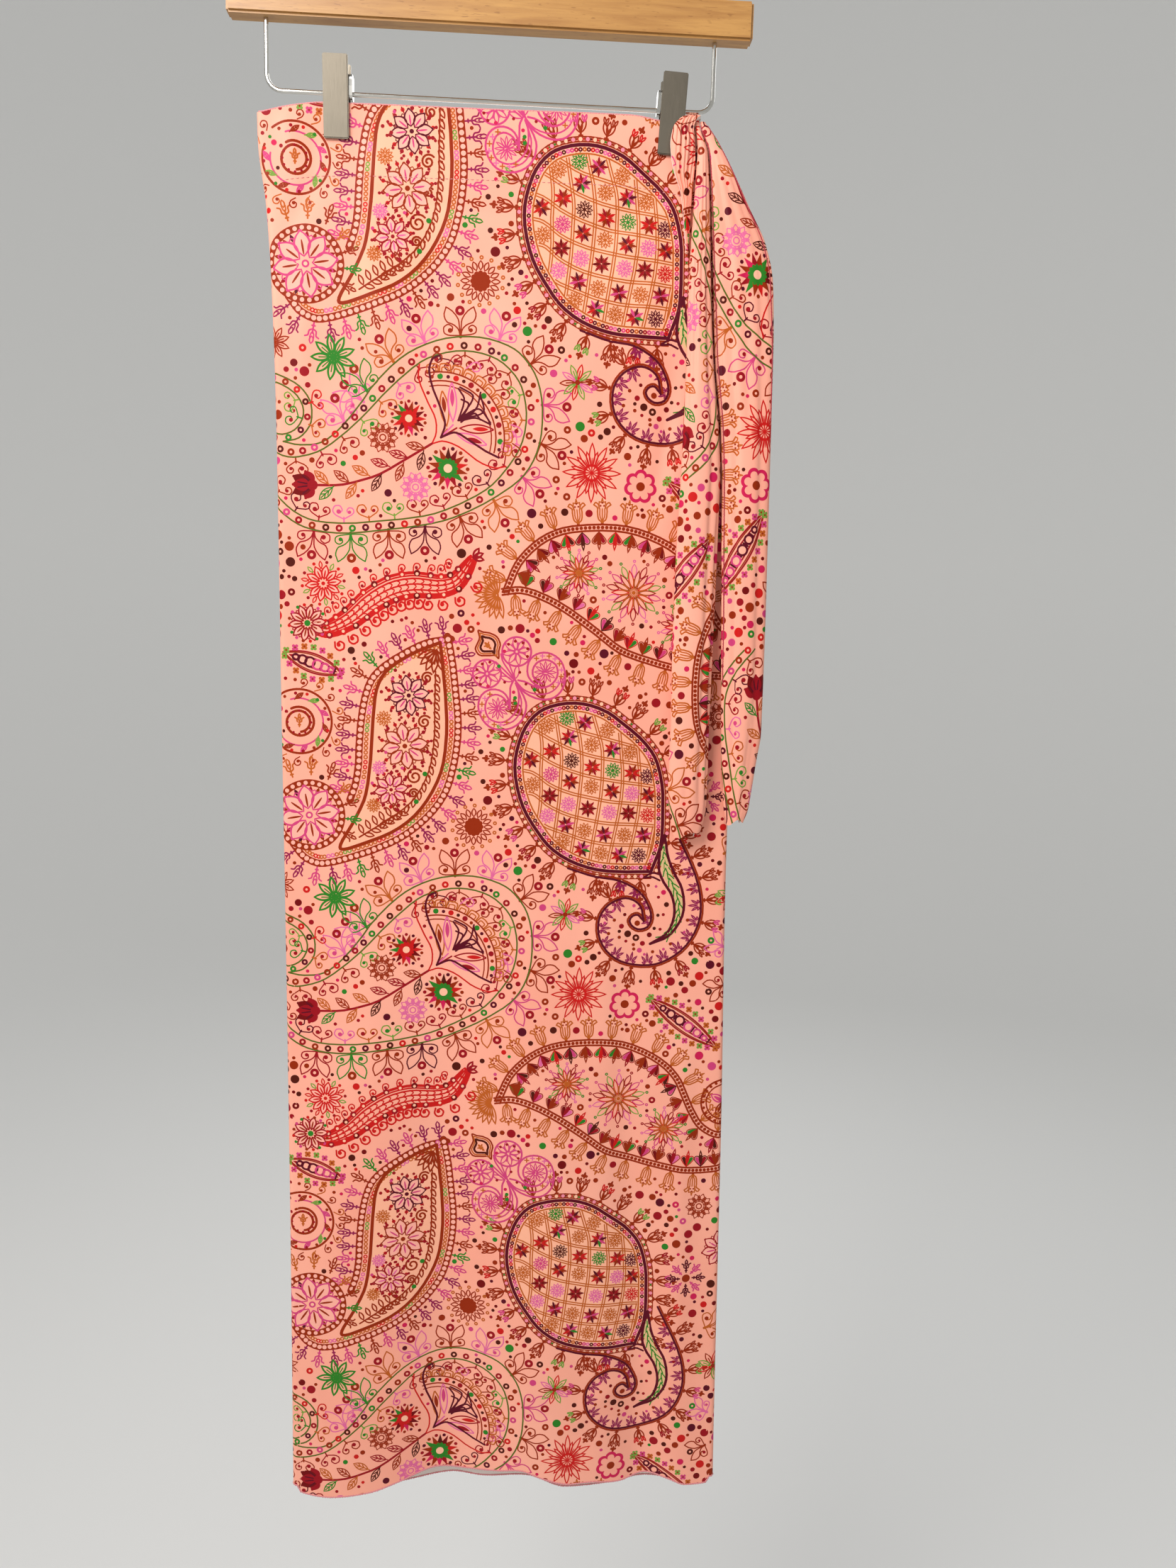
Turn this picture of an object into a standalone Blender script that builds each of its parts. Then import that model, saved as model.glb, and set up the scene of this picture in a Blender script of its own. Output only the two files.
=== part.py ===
"""A printed tube sarong with a side tie, clipped to a wooden trouser hanger.

Metres, +Z up, front facing -Y. The origin is the highest point of the inside of the
hanger's hook, where a rail carries it. Every size below is in millimetres and is scaled
by MM where it becomes geometry.
"""
import math

import bmesh
import bpy
from mathutils import Vector

MM = 0.001

# Hanger
HOOK_INSIDE_RADIUS = 19.0
HOOK_ROD = 4.0
HOOK_BEND_START = -54.0
HOOK_BEND_HANDLE = 12.0
HOOK_FROM_DEG = -36.0
HOOK_TO_DEG = 196.0
BAR_LENGTH = 344.0
BAR_DEPTH = 14.0
BAR_TOP = -66.0
BAR_BOTTOM = -90.5
BAR_EDGE = 1.6
FERRULE_RADIUS = 5.0
FERRULE_HEIGHT = 6.0
WIRE_ROD = 3.0
WIRE_HALF_WIDTH = 147.5
WIRE_BOTTOM = -134.5
WIRE_CORNER = 10.0

# Clips
CLIP_WIDTH = 16.5
CLIP_TOP = -113.0
CLIP_JAW = -163.2
CLIP_PLATE = 2.2
CLIP_EDGE = 0.6
CLIP_SPREAD = 0.1
CLIP_HINGE_TOP = -123.0
CLIP_HINGE_BOTTOM = -138.5
CLIP_HINGE_PROUD = 2.4
CLIPS = (
    {"name": "clip_left", "x": -102.0, "lean_deg": 0.0, "hinge_side": 1},
    {"name": "clip_right", "x": 120.6, "lean_deg": 2.5, "hinge_side": -1},
)

# Cloth
CLOTH = 1.2
SEAM_GAP = 0.3
CLEAR = 0.3
EDGE_RADIUS = 3.6
EDGE_STEPS = 3
TIE_COLUMNS = 18
TIE_ROWS = 24
TIE_OPENING_DEG = 22.0
KNOT_THICKNESS = 2.0
KNOT_COLUMNS = 9
HEM_LEVEL = -1150.0
HEM_LEFT = -138.6
HEM_RIGHT = 188.6
FOLD_GROWTH = 260.0
EDGE_CALM = 30.0
CLIP_MARGIN = 4.0
CLIP_REACH_BESIDE = 9.0
CLIP_REACH_BELOW = 22.0

# Outline of the flat skirt, seen from the front: x of each side edge at a height
LEFT_EDGE = (
    {"z": -150.0, "x": -154.0},
    {"z": -167.0, "x": -153.6},
    {"z": -208.0, "x": -148.6},
    {"z": -256.0, "x": -145.8},
    {"z": -348.0, "x": -143.5},
    {"z": -541.0, "x": -142.0},
    {"z": -748.0, "x": -140.2},
    {"z": -969.0, "x": -139.0},
    {"z": -1150.0, "x": -138.6},
)
RIGHT_EDGE = (
    {"z": -183.0, "x": 163.0},
    {"z": -220.0, "x": 173.0},
    {"z": -275.0, "x": 177.0},
    {"z": -620.0, "x": 178.2},
    {"z": -857.0, "x": 183.3},
    {"z": -1091.0, "x": 187.3},
    {"z": -1150.0, "x": 188.6},
)

# Where the skirt's columns of points stand along the waist, closest beside the clips,
# and how far its rows lie below the waist edge
PANEL_COLUMNS_AT = (
    -150.4, -143.0, -134.0, -124.0, -114.0, -102.0, -90.0, -78.0, -64.0, -48.0, -32.0, -16.0,
    0.0, 16.0, 32.0, 48.0, 64.0, 80.0, 94.0, 107.5, 120.0, 132.5, 143.0, 152.0, 159.4,
)
PANEL_ROWS_AT = (
    0.0, 8.0, 16.0, 25.0, 35.0, 50.0, 70.0, 96.0, 128.0, 166.0, 210.0, 260.0, 312.0, 366.0,
    420.0, 474.0, 528.0, 582.0, 636.0, 690.0, 744.0, 796.0, 846.0, 892.0, 934.0, 972.0, 1005.0,
)

# Height of the waist edge and of each layer's hem along x
WAIST_LINE = (
    {"x": -154.0, "z": -150.0},
    {"x": -130.0, "z": -144.0},
    {"x": -111.0, "z": -141.6},
    {"x": -2.0, "z": -140.4},
    {"x": 92.0, "z": -139.4},
    {"x": 112.0, "z": -142.0},
    {"x": 131.0, "z": -144.4},
    {"x": 141.0, "z": -148.0},
    {"x": 152.0, "z": -162.0},
    {"x": 163.0, "z": -183.0},
)
FRONT_HEM = (
    {"x": -139.0, "z": -1138.0},
    {"x": -135.0, "z": -1144.5},
    {"x": -113.0, "z": -1147.5},
    {"x": -84.0, "z": -1145.5},
    {"x": -59.0, "z": -1139.5},
    {"x": -28.0, "z": -1132.0},
    {"x": -8.0, "z": -1133.0},
    {"x": 18.0, "z": -1131.0},
    {"x": 36.0, "z": -1128.5},
    {"x": 54.0, "z": -1134.0},
    {"x": 77.0, "z": -1139.5},
    {"x": 92.0, "z": -1139.0},
    {"x": 117.0, "z": -1141.5},
    {"x": 138.0, "z": -1137.0},
    {"x": 155.0, "z": -1140.0},
    {"x": 170.0, "z": -1145.0},
    {"x": 185.0, "z": -1144.5},
    {"x": 188.6, "z": -1139.0},
)
BACK_HEM = (
    {"x": -139.0, "z": -1139.0},
    {"x": -135.0, "z": -1145.0},
    {"x": -100.0, "z": -1149.0},
    {"x": -60.0, "z": -1146.0},
    {"x": -20.0, "z": -1144.0},
    {"x": 5.0, "z": -1147.0},
    {"x": 45.0, "z": -1141.5},
    {"x": 72.0, "z": -1149.0},
    {"x": 90.0, "z": -1150.0},
    {"x": 130.0, "z": -1146.0},
    {"x": 185.0, "z": -1145.0},
    {"x": 188.6, "z": -1140.0},
)

# Folds that both layers share: how far the cloth swings back (+) or forward (-)
SWAYS = (
    {"x_top": -95.0, "x_hem": -108.0, "from_z": -420.0, "width": 30.0, "swing": -3.5},
    {"x_top": -10.0, "x_hem": -18.0, "from_z": -520.0, "width": 38.0, "swing": 10.0},
    {"x_top": 60.0, "x_hem": 66.0, "from_z": -560.0, "width": 26.0, "swing": -4.0},
    {"x_top": 118.0, "x_hem": 132.0, "from_z": -760.0, "width": 17.0, "swing": 5.0},
)
# Folds of one layer alone: how far it stands out from the space between the layers
FRONT_FOLDS = (
    {"x_top": -60.0, "x_hem": -72.0, "from_z": -150.0, "width": 34.0, "out": 2.2},
    {"x_top": 30.0, "x_hem": 30.0, "from_z": -150.0, "width": 44.0, "out": 4.0},
    {"x_top": 88.0, "x_hem": 98.0, "from_z": -320.0, "width": 18.0, "out": 2.0},
    {"x_top": 120.0, "x_hem": 158.0, "from_z": -640.0, "width": 22.0, "out": 1.6},
)
BACK_FOLDS = (
    {"x_top": -70.0, "x_hem": -84.0, "from_z": -150.0, "width": 26.0, "out": 2.6},
    {"x_top": 8.0, "x_hem": 22.0, "from_z": -150.0, "width": 44.0, "out": 4.2},
    {"x_top": 80.0, "x_hem": 90.0, "from_z": -260.0, "width": 24.0, "out": 2.4},
    {"x_top": 132.0, "x_hem": 150.0, "from_z": -420.0, "width": 20.0, "out": 2.0},
)

# Sections of the two hanging ends: outline from the front, depth from the side.
# tilt lowers the left of a section, as the ends are cut on the slant.
TIE_FRONT = (
    {"z": -141.8, "left": 134.9, "right": 138.2, "front": -7.2, "back": -4.4, "tilt": 0.0},
    {"z": -146.0, "left": 135.6, "right": 138.8, "front": -8.0, "back": -4.6, "tilt": 0.0},
    {"z": -153.0, "left": 136.9, "right": 141.2, "front": -9.6, "back": -4.7, "tilt": 0.0},
    {"z": -161.5, "left": 137.6, "right": 144.2, "front": -11.0, "back": -4.8, "tilt": 0.0},
    {"z": -175.0, "left": 137.0, "right": 145.4, "front": -13.0, "back": -5.2, "tilt": 0.0},
    {"z": -205.0, "left": 135.5, "right": 147.0, "front": -17.0, "back": -6.2, "tilt": 0.0},
    {"z": -247.0, "left": 133.8, "right": 149.2, "front": -19.5, "back": -7.0, "tilt": 0.0},
    {"z": -295.0, "left": 134.0, "right": 152.4, "front": -21.0, "back": -7.6, "tilt": 0.0},
    {"z": -342.0, "left": 133.6, "right": 158.0, "front": -21.5, "back": -8.0, "tilt": 0.0},
    {"z": -379.0, "left": 133.0, "right": 160.4, "front": -21.5, "back": -8.0, "tilt": 0.0},
    {"z": -419.0, "left": 131.7, "right": 160.4, "front": -21.5, "back": -8.0, "tilt": 0.0},
    {"z": -484.0, "left": 131.2, "right": 160.0, "front": -22.0, "back": -8.0, "tilt": 0.0},
    {"z": -550.0, "left": 131.9, "right": 159.6, "front": -21.0, "back": -8.0, "tilt": 0.0},
    {"z": -584.0, "left": 131.6, "right": 160.0, "front": -20.0, "back": -8.0, "tilt": 0.02},
    {"z": -601.0, "left": 132.6, "right": 160.0, "front": -18.8, "back": -8.0, "tilt": 0.06},
    {"z": -613.0, "left": 134.2, "right": 159.0, "front": -17.8, "back": -8.0, "tilt": 0.12},
    {"z": -621.0, "left": 135.2, "right": 157.6, "front": -17.0, "back": -8.0, "tilt": 0.18},
    {"z": -627.0, "left": 136.8, "right": 155.8, "front": -16.4, "back": -8.0, "tilt": 0.22},
)
TIE_SIDE = (
    {"z": -142.6, "left": 138.8, "right": 142.2, "front": -7.2, "back": -4.4, "tilt": 0.0},
    {"z": -147.0, "left": 139.6, "right": 145.4, "front": -8.0, "back": -4.6, "tilt": 0.0},
    {"z": -153.0, "left": 142.2, "right": 149.8, "front": -8.8, "back": -4.7, "tilt": 0.0},
    {"z": -161.5, "left": 145.4, "right": 155.2, "front": -9.6, "back": -4.8, "tilt": 0.0},
    {"z": -175.0, "left": 146.8, "right": 163.0, "front": -11.0, "back": -5.0, "tilt": 0.0},
    {"z": -198.0, "left": 148.2, "right": 174.8, "front": -13.0, "back": -5.4, "tilt": 0.0},
    {"z": -220.0, "left": 149.4, "right": 186.0, "front": -14.5, "back": -5.6, "tilt": 0.0},
    {"z": -244.0, "left": 150.8, "right": 191.8, "front": -16.0, "back": -5.8, "tilt": 0.0},
    {"z": -293.0, "left": 153.7, "right": 194.2, "front": -17.0, "back": -6.0, "tilt": 0.0},
    {"z": -341.0, "left": 159.6, "right": 194.8, "front": -18.5, "back": -6.0, "tilt": 0.0},
    {"z": -378.0, "left": 162.0, "right": 195.4, "front": -19.0, "back": -6.0, "tilt": 0.0},
    {"z": -418.0, "left": 163.4, "right": 196.0, "front": -19.0, "back": -6.0, "tilt": 0.0},
    {"z": -484.0, "left": 166.0, "right": 197.0, "front": -19.0, "back": -6.0, "tilt": 0.0},
    {"z": -550.0, "left": 168.6, "right": 197.4, "front": -18.6, "back": -6.0, "tilt": 0.0},
    {"z": -570.0, "left": 169.6, "right": 195.0, "front": -18.0, "back": -6.0, "tilt": 0.0},
    {"z": -592.0, "left": 171.6, "right": 192.4, "front": -17.0, "back": -6.0, "tilt": 0.0},
    {"z": -606.0, "left": 172.8, "right": 190.6, "front": -16.0, "back": -6.2, "tilt": 0.06},
    {"z": -616.0, "left": 174.6, "right": 187.4, "front": -15.4, "back": -6.4, "tilt": 0.16},
)
# Soft pleats down the ends: where round the section, from the front centre, and how deep
TIE_FRONT_PLEATS = ({"at_deg": 38.0, "width_deg": 13.0, "depth": 0.14},)
TIE_SIDE_PLEATS = (
    {"at_deg": -34.0, "width_deg": 12.0, "depth": 0.2},
    {"at_deg": 40.0, "width_deg": 14.0, "depth": 0.1},
)

# The folded band that goes over the waist edge and down its front: its inner face
KNOT_BAND = (
    {"x": 135.6, "y": 5.4, "z": -164.0, "half": 3.2, "crown": 0.8},
    {"x": 135.4, "y": 5.0, "z": -154.0, "half": 4.4, "crown": 1.0},
    {"x": 135.0, "y": 4.4, "z": -147.0, "half": 4.6, "crown": 1.0},
    {"x": 134.8, "y": 2.8, "z": -142.6, "half": 4.6, "crown": 0.8},
    {"x": 134.8, "y": 0.0, "z": -141.0, "half": 4.6, "crown": 0.6},
    {"x": 134.8, "y": -4.0, "z": -140.4, "half": 4.6, "crown": 0.6},
    {"x": 133.8, "y": -7.4, "z": -141.2, "half": 4.8, "crown": 0.8},
    {"x": 129.6, "y": -8.8, "z": -143.6, "half": 5.8, "crown": 1.4},
    {"x": 127.2, "y": -8.6, "z": -149.0, "half": 7.0, "crown": 2.6},
    {"x": 127.2, "y": -8.2, "z": -157.0, "half": 8.2, "crown": 3.0},
    {"x": 128.0, "y": -7.4, "z": -166.0, "half": 8.0, "crown": 2.8},
    {"x": 129.2, "y": -6.6, "z": -176.0, "half": 6.6, "crown": 2.4},
    {"x": 131.0, "y": -6.0, "z": -186.0, "half": 4.2, "crown": 1.8},
    {"x": 131.8, "y": -5.8, "z": -198.0, "half": 2.8, "crown": 1.2},
    {"x": 132.4, "y": -5.6, "z": -212.0, "half": 1.7, "crown": 0.6},
    {"x": 132.8, "y": -5.4, "z": -226.0, "half": 0.7, "crown": 0.2},
)
KNOT_GROOVES = (
    {"at": -0.15, "width": 0.22, "depth": 1.1},
    {"at": 0.55, "width": 0.2, "depth": 0.7},
)

# Colours as the photograph shows them, linear RGB
PRINTED_PINK = (0.85, 0.36, 0.28)
TIE_PINK = (0.84, 0.34, 0.27)
BEECH = (0.52, 0.27, 0.09)
NICKEL = (0.44, 0.42, 0.37)
CHROME = (0.8, 0.79, 0.76)


def clear_scene():
    for thing in list(bpy.data.objects):
        bpy.data.objects.remove(thing)


def material(name, colour, roughness, metallic):
    made = bpy.data.materials.new(name)
    made.use_nodes = True
    shader = made.node_tree.nodes["Principled BSDF"]
    shader.inputs["Base Color"].default_value = (*colour, 1.0)
    shader.inputs["Roughness"].default_value = roughness
    shader.inputs["Metallic"].default_value = metallic
    return made


def place(name, mesh, surface):
    made = bpy.data.objects.new(name, mesh)
    mesh.materials.append(surface)
    bpy.context.scene.collection.objects.link(made)
    return made


def finish_mesh(name, builder):
    """A mesh from a bmesh, facing outwards and shaded smooth but for its sharp edges."""
    bmesh.ops.recalc_face_normals(builder, faces=builder.faces[:])
    if builder.calc_volume(signed=True) < 0:
        bmesh.ops.reverse_faces(builder, faces=builder.faces[:])
    mesh = bpy.data.meshes.new(name)
    builder.to_mesh(mesh)
    builder.free()
    mesh.shade_smooth()
    mesh.set_sharp_from_angle(angle=math.radians(50))
    return mesh


def ease(share):
    """0 to 1 with soft ends."""
    share = min(1.0, max(0.0, share))
    return share * share * (3.0 - 2.0 * share)


def bump(distance, width):
    """1 at its centre, falling smoothly to nothing about two widths away."""
    return math.exp(-((distance / width) ** 2))


def along(rows, key, value, at):
    """Column value of a table, read where its column key is at, on a smooth curve."""
    rows = sorted(rows, key=lambda row: row[key])
    places = [row[key] for row in rows]
    values = [row[value] for row in rows]
    if at <= places[0]:
        return values[0]
    if at >= places[-1]:
        return values[-1]
    i = max(k for k in range(len(places) - 1) if places[k] <= at)
    steps = [
        (values[k + 1] - values[k]) / (places[k + 1] - places[k])
        for k in range(len(places) - 1)
    ]

    def slope(k):
        if k in (0, len(places) - 1):
            return steps[min(k, len(steps) - 1)]
        before, after = steps[k - 1], steps[k]
        return 0.0 if before * after <= 0 else 2.0 * before * after / (before + after)

    wide = places[i + 1] - places[i]
    t = (at - places[i]) / wide
    return (
        values[i] * (2 * t**3 - 3 * t**2 + 1)
        + slope(i) * wide * (t**3 - 2 * t**2 + t)
        + values[i + 1] * (3 * t**2 - 2 * t**3)
        + slope(i + 1) * wide * (t**3 - t**2)
    )


def grid_normals(grid):
    """The unit normal at each point of a grid of points, from its neighbours."""
    rows, columns = len(grid), len(grid[0])
    normals = []
    for r in range(rows):
        line = []
        for c in range(columns):
            down = grid[min(r + 1, rows - 1)][c] - grid[max(r - 1, 0)][c]
            across = grid[r][min(c + 1, columns - 1)] - grid[r][max(c - 1, 0)]
            line.append(across.cross(down).normalized())
        normals.append(line)
    return normals


def offset_grid(grid, distance):
    normals = grid_normals(grid)
    return [
        [point + normal * distance for point, normal in zip(line, directions)]
        for line, directions in zip(grid, normals)
    ]


def wall_mesh(name, one_side, other_side):
    """A closed wall between two grids of points in millimetres, with a rim round it."""
    builder = bmesh.new()
    sides = [
        [[builder.verts.new(point * MM) for point in line] for line in grid]
        for grid in (one_side, other_side)
    ]
    rows, columns = len(one_side), len(one_side[0])
    for grid in sides:
        for r in range(rows - 1):
            for c in range(columns - 1):
                builder.faces.new(
                    (grid[r][c], grid[r][c + 1], grid[r + 1][c + 1], grid[r + 1][c])
                )
    rim = (
        [(0, c) for c in range(columns)]
        + [(r, columns - 1) for r in range(1, rows)]
        + [(rows - 1, c) for c in range(columns - 2, -1, -1)]
        + [(r, 0) for r in range(rows - 2, 0, -1)]
    )
    first, second = sides
    for (r, c), (next_r, next_c) in zip(rim, rim[1:] + rim[:1]):
        builder.faces.new(
            (first[r][c], first[next_r][next_c], second[next_r][next_c], second[r][c])
        )
    return finish_mesh(name, builder)


def fold_line(fold, z):
    """x of a fold's crest at a height, on the line from its top to the hem."""
    share = (fold["from_z"] - z) / (fold["from_z"] - HEM_LEVEL)
    return fold["x_top"] + (fold["x_hem"] - fold["x_top"]) * min(1.0, max(0.0, share))


def sway(x, z):
    """How far both layers together hang back from the plane of the hanger."""
    total = 0.0
    for fold in SWAYS:
        grown = ease((fold["from_z"] - z) / (fold["from_z"] - HEM_LEVEL))
        total += fold["swing"] * grown * bump(x - fold_line(fold, z), fold["width"])
    return total


def half_gap(x, z, folds):
    """Distance of one layer's outer face from the middle of the flattened tube."""
    total = EDGE_RADIUS
    inside = min(x - along(LEFT_EDGE, "z", "x", z), along(RIGHT_EDGE, "z", "x", z) - x)
    for fold in folds:
        grown = ease((fold["from_z"] - z) / FOLD_GROWTH) * ease(inside / EDGE_CALM)
        total += fold["out"] * grown * bump(x - fold_line(fold, z), fold["width"])
    pressed = CLOTH + SEAM_GAP / 2 + CLIP_SPREAD * max(0.0, z - CLIP_JAW)
    for clip in CLIPS:
        beside = max(0.0, abs(x - clip["x"]) - CLIP_WIDTH / 2 - CLIP_MARGIN)
        below = max(0.0, CLIP_JAW - CLIP_MARGIN - z)
        held = bump(beside, CLIP_REACH_BESIDE) * bump(below, CLIP_REACH_BELOW)
        total += (min(pressed, EDGE_RADIUS) - total) * held
    return total


def panel_grid(side, hem, folds):
    """Outer face of the front (side -1) or back (side 1) layer, waist to hem."""
    edge_turns = [math.pi / 2 * k / EDGE_STEPS for k in range(EDGE_STEPS + 1)]
    grid = []
    first, last = PANEL_COLUMNS_AT[0], PANEL_COLUMNS_AT[-1]
    for row_at in PANEL_ROWS_AT:
        down = row_at / PANEL_ROWS_AT[-1]
        line = []
        for x_at_waist in PANEL_COLUMNS_AT:
            across = (x_at_waist - first) / (last - first)
            x_at_hem = HEM_LEFT + across * (HEM_RIGHT - HEM_LEFT)
            top = along(WAIST_LINE, "x", "z", x_at_waist)
            bottom = along(hem, "x", "z", x_at_hem)
            z = top + (bottom - top) * down
            left = along(LEFT_EDGE, "z", "x", z) + EDGE_RADIUS
            right = along(RIGHT_EDGE, "z", "x", z) - EDGE_RADIUS
            x = left + across * (right - left)
            line.append(Vector((x, sway(x, z) + side * half_gap(x, z, folds), z)))
        left_end, right_end = line[0], line[-1]
        round_left = []
        round_right = []
        for turn in edge_turns[1:]:
            reach = EDGE_RADIUS * math.sin(turn)
            depth = side * max(EDGE_RADIUS * math.cos(turn), SEAM_GAP / 2)
            left_mid = sway(left_end.x, left_end.z)
            right_mid = sway(right_end.x, right_end.z)
            round_left.append(Vector((left_end.x - reach, left_mid + depth, left_end.z)))
            round_right.append(Vector((right_end.x + reach, right_mid + depth, right_end.z)))
        grid.append(round_left[::-1] + line + round_right)
    return grid


def make_panel(name, side, hem, folds, surface):
    outer = panel_grid(side, hem, folds)
    inner = offset_grid(outer, -CLOTH * side)
    for line_out, line_in in zip(outer, inner):
        for end in (0, -1):
            line_in[end].y = line_out[end].y
            line_in[end].z = line_out[end].z
    return place(name, wall_mesh(name, outer, inner), surface)


def tie_section(row_at, pleats):
    """Points round one section of a hanging end, open by a slit at its back."""
    left, right = row_at["left"], row_at["right"]
    front, back = row_at["front"], row_at["back"]
    half_wide, half_deep = (right - left) / 2, (back - front) / 2
    middle = Vector(((left + right) / 2, (front + back) / 2, row_at["z"]))
    opening = math.radians(TIE_OPENING_DEG / 2)
    points = []
    for c in range(TIE_COLUMNS + 1):
        # The angle runs from the front centre, negative to the left
        angle = -math.pi + opening + (2 * math.pi - 2 * opening) * c / TIE_COLUMNS
        reach = 1.0
        for pleat in pleats:
            away = math.degrees(angle) - pleat["at_deg"]
            reach -= pleat["depth"] * bump(away, pleat["width_deg"]) * row_at["grown"]
        x = half_wide * math.sin(angle) * reach
        y = -half_deep * math.cos(angle) * reach
        points.append(middle + Vector((x, y, row_at["tilt"] * (x + half_wide))))
    return points


def make_tie(name, table, pleats, surface):
    top, bottom = table[0]["z"], table[-1]["z"]
    outer = []
    for r in range(TIE_ROWS + 1):
        z = top + (bottom - top) * (r / TIE_ROWS) ** 1.25
        row_at = {
            key: along(table, "z", key, z)
            for key in ("left", "right", "front", "back", "tilt")
        }
        row_at["z"] = z
        row_at["grown"] = ease((top - z) / 60.0)
        outer.append(tie_section(row_at, pleats))
    inner = offset_grid(outer, CLOTH)
    for line_out, line_in in zip(outer, inner):
        for point_out, point_in in zip(line_out, line_in):
            point_in.z = point_out.z
    return place(name, wall_mesh(name, outer, inner), surface)


def make_knot(surface):
    """The gathered loop of the tie, over the waist edge and down beside the clip."""
    inner = []
    for row in KNOT_BAND:
        line = []
        for c in range(KNOT_COLUMNS + 1):
            share = 2.0 * c / KNOT_COLUMNS - 1.0
            line.append(Vector((row["x"] + row["half"] * share, row["y"], row["z"])))
        inner.append(line)
    outward = grid_normals(inner)
    outer = []
    for row, line, normals in zip(KNOT_BAND, inner, outward):
        raised = []
        for c, (point, normal) in enumerate(zip(line, normals)):
            share = 2.0 * c / KNOT_COLUMNS - 1.0
            lift = KNOT_THICKNESS + row["crown"] * (1.0 - share * share)
            for groove in KNOT_GROOVES:
                sunk = groove["depth"] * bump(share - groove["at"], groove["width"])
                lift -= sunk * min(1.0, row["crown"] / 2.0)
            raised.append(point - normal * lift)
        outer.append(raised)
    return place("tie_knot", wall_mesh("tie_knot", outer, inner), surface)


def make_hook(surface):
    """Bent rod: up from the bar, out to the side and round over the rail."""
    radius = HOOK_INSIDE_RADIUS + HOOK_ROD / 2
    centre_z = -HOOK_INSIDE_RADIUS
    points = [Vector((0.0, 0.0, BAR_TOP + CLEAR)), Vector((0.0, 0.0, HOOK_BEND_START))]
    join = math.radians(HOOK_FROM_DEG)
    first = Vector((radius * math.cos(join), 0.0, centre_z + radius * math.sin(join)))
    heading = Vector((-math.sin(join), 0.0, math.cos(join)))
    controls = (
        points[-1],
        points[-1] + Vector((0.0, 0.0, HOOK_BEND_HANDLE)),
        first - heading * HOOK_BEND_HANDLE,
        first,
    )
    for k in range(1, 7):
        t = k / 6
        points.append(
            controls[0] * (1 - t) ** 3
            + controls[1] * 3 * t * (1 - t) ** 2
            + controls[2] * 3 * t * t * (1 - t)
            + controls[3] * t**3
        )
    turns = 18
    for k in range(1, turns + 1):
        angle = math.radians(HOOK_FROM_DEG + (HOOK_TO_DEG - HOOK_FROM_DEG) * k / turns)
        points.append(
            Vector((radius * math.cos(angle), 0.0, centre_z + radius * math.sin(angle)))
        )
    return place_rod("hook", points, HOOK_ROD, surface, 3)


def make_wire(surface):
    """The rod that hangs from both ends of the bar and carries the clips."""
    top = BAR_BOTTOM - CLEAR
    points = [Vector((-WIRE_HALF_WIDTH, 0.0, top))]
    for side in (-1, 1):
        centre = Vector((side * (WIRE_HALF_WIDTH - WIRE_CORNER), 0.0, WIRE_BOTTOM + WIRE_CORNER))
        for k in range(7):
            turn = math.pi / 2 * k / 6
            if side < 0:
                step = Vector((-math.cos(turn), 0.0, -math.sin(turn)))
            else:
                step = Vector((math.sin(turn), 0.0, -math.cos(turn)))
            points.append(centre + step * WIRE_CORNER)
    points.append(Vector((WIRE_HALF_WIDTH, 0.0, top)))
    return place_rod("wire", points, WIRE_ROD, surface, 3)


def place_rod(name, points, thickness, surface, resolution):
    curve = bpy.data.curves.new(name, "CURVE")
    curve.dimensions = "3D"
    curve.bevel_depth = thickness / 2 * MM
    curve.bevel_resolution = resolution
    curve.use_fill_caps = True
    spline = curve.splines.new("POLY")
    spline.points.add(len(points) - 1)
    for knot, point in zip(spline.points, points):
        knot.co = (*(point * MM), 1.0)
    made = bpy.data.objects.new(name, curve)
    curve.materials.append(surface)
    bpy.context.scene.collection.objects.link(made)
    return made


def box_mesh(name, low, high, edge):
    """A box with rounded edges."""
    builder = bmesh.new()
    bmesh.ops.create_cube(builder, size=1.0)
    size = Vector(high) - Vector(low)
    middle = (Vector(high) + Vector(low)) / 2
    for corner in builder.verts:
        corner.co = Vector(a * b for a, b in zip(corner.co, size)) + middle
        corner.co *= MM
    bmesh.ops.bevel(
        builder, geom=builder.edges[:], offset=edge * MM, segments=2, affect="EDGES"
    )
    return finish_mesh(name, builder)


def make_bar(surface):
    low = (-BAR_LENGTH / 2, -BAR_DEPTH / 2, BAR_BOTTOM)
    high = (BAR_LENGTH / 2, BAR_DEPTH / 2, BAR_TOP)
    return place("hanger_bar", box_mesh("hanger_bar", low, high, BAR_EDGE), surface)


def make_ferrule(surface):
    """The collar round the foot of the hook."""
    builder = bmesh.new()
    hole = HOOK_ROD / 2 + CLEAR
    profile = (
        (hole, BAR_TOP + CLEAR),
        (FERRULE_RADIUS, BAR_TOP + CLEAR),
        (FERRULE_RADIUS, BAR_TOP + FERRULE_HEIGHT * 0.6),
        (FERRULE_RADIUS * 0.7, BAR_TOP + FERRULE_HEIGHT),
        (hole, BAR_TOP + FERRULE_HEIGHT),
    )
    sides = 20
    rings = []
    for k in range(sides):
        angle = 2 * math.pi * k / sides
        rings.append(
            [
                builder.verts.new(Vector((r * math.cos(angle), r * math.sin(angle), z)) * MM)
                for r, z in profile
            ]
        )
    for here, after in zip(rings, rings[1:] + rings[:1]):
        for k in range(len(profile)):
            following = (k + 1) % len(profile)
            builder.faces.new((here[k], after[k], after[following], here[following]))
    return place("hook_ferrule", finish_mesh("hook_ferrule", builder), surface)


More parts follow.
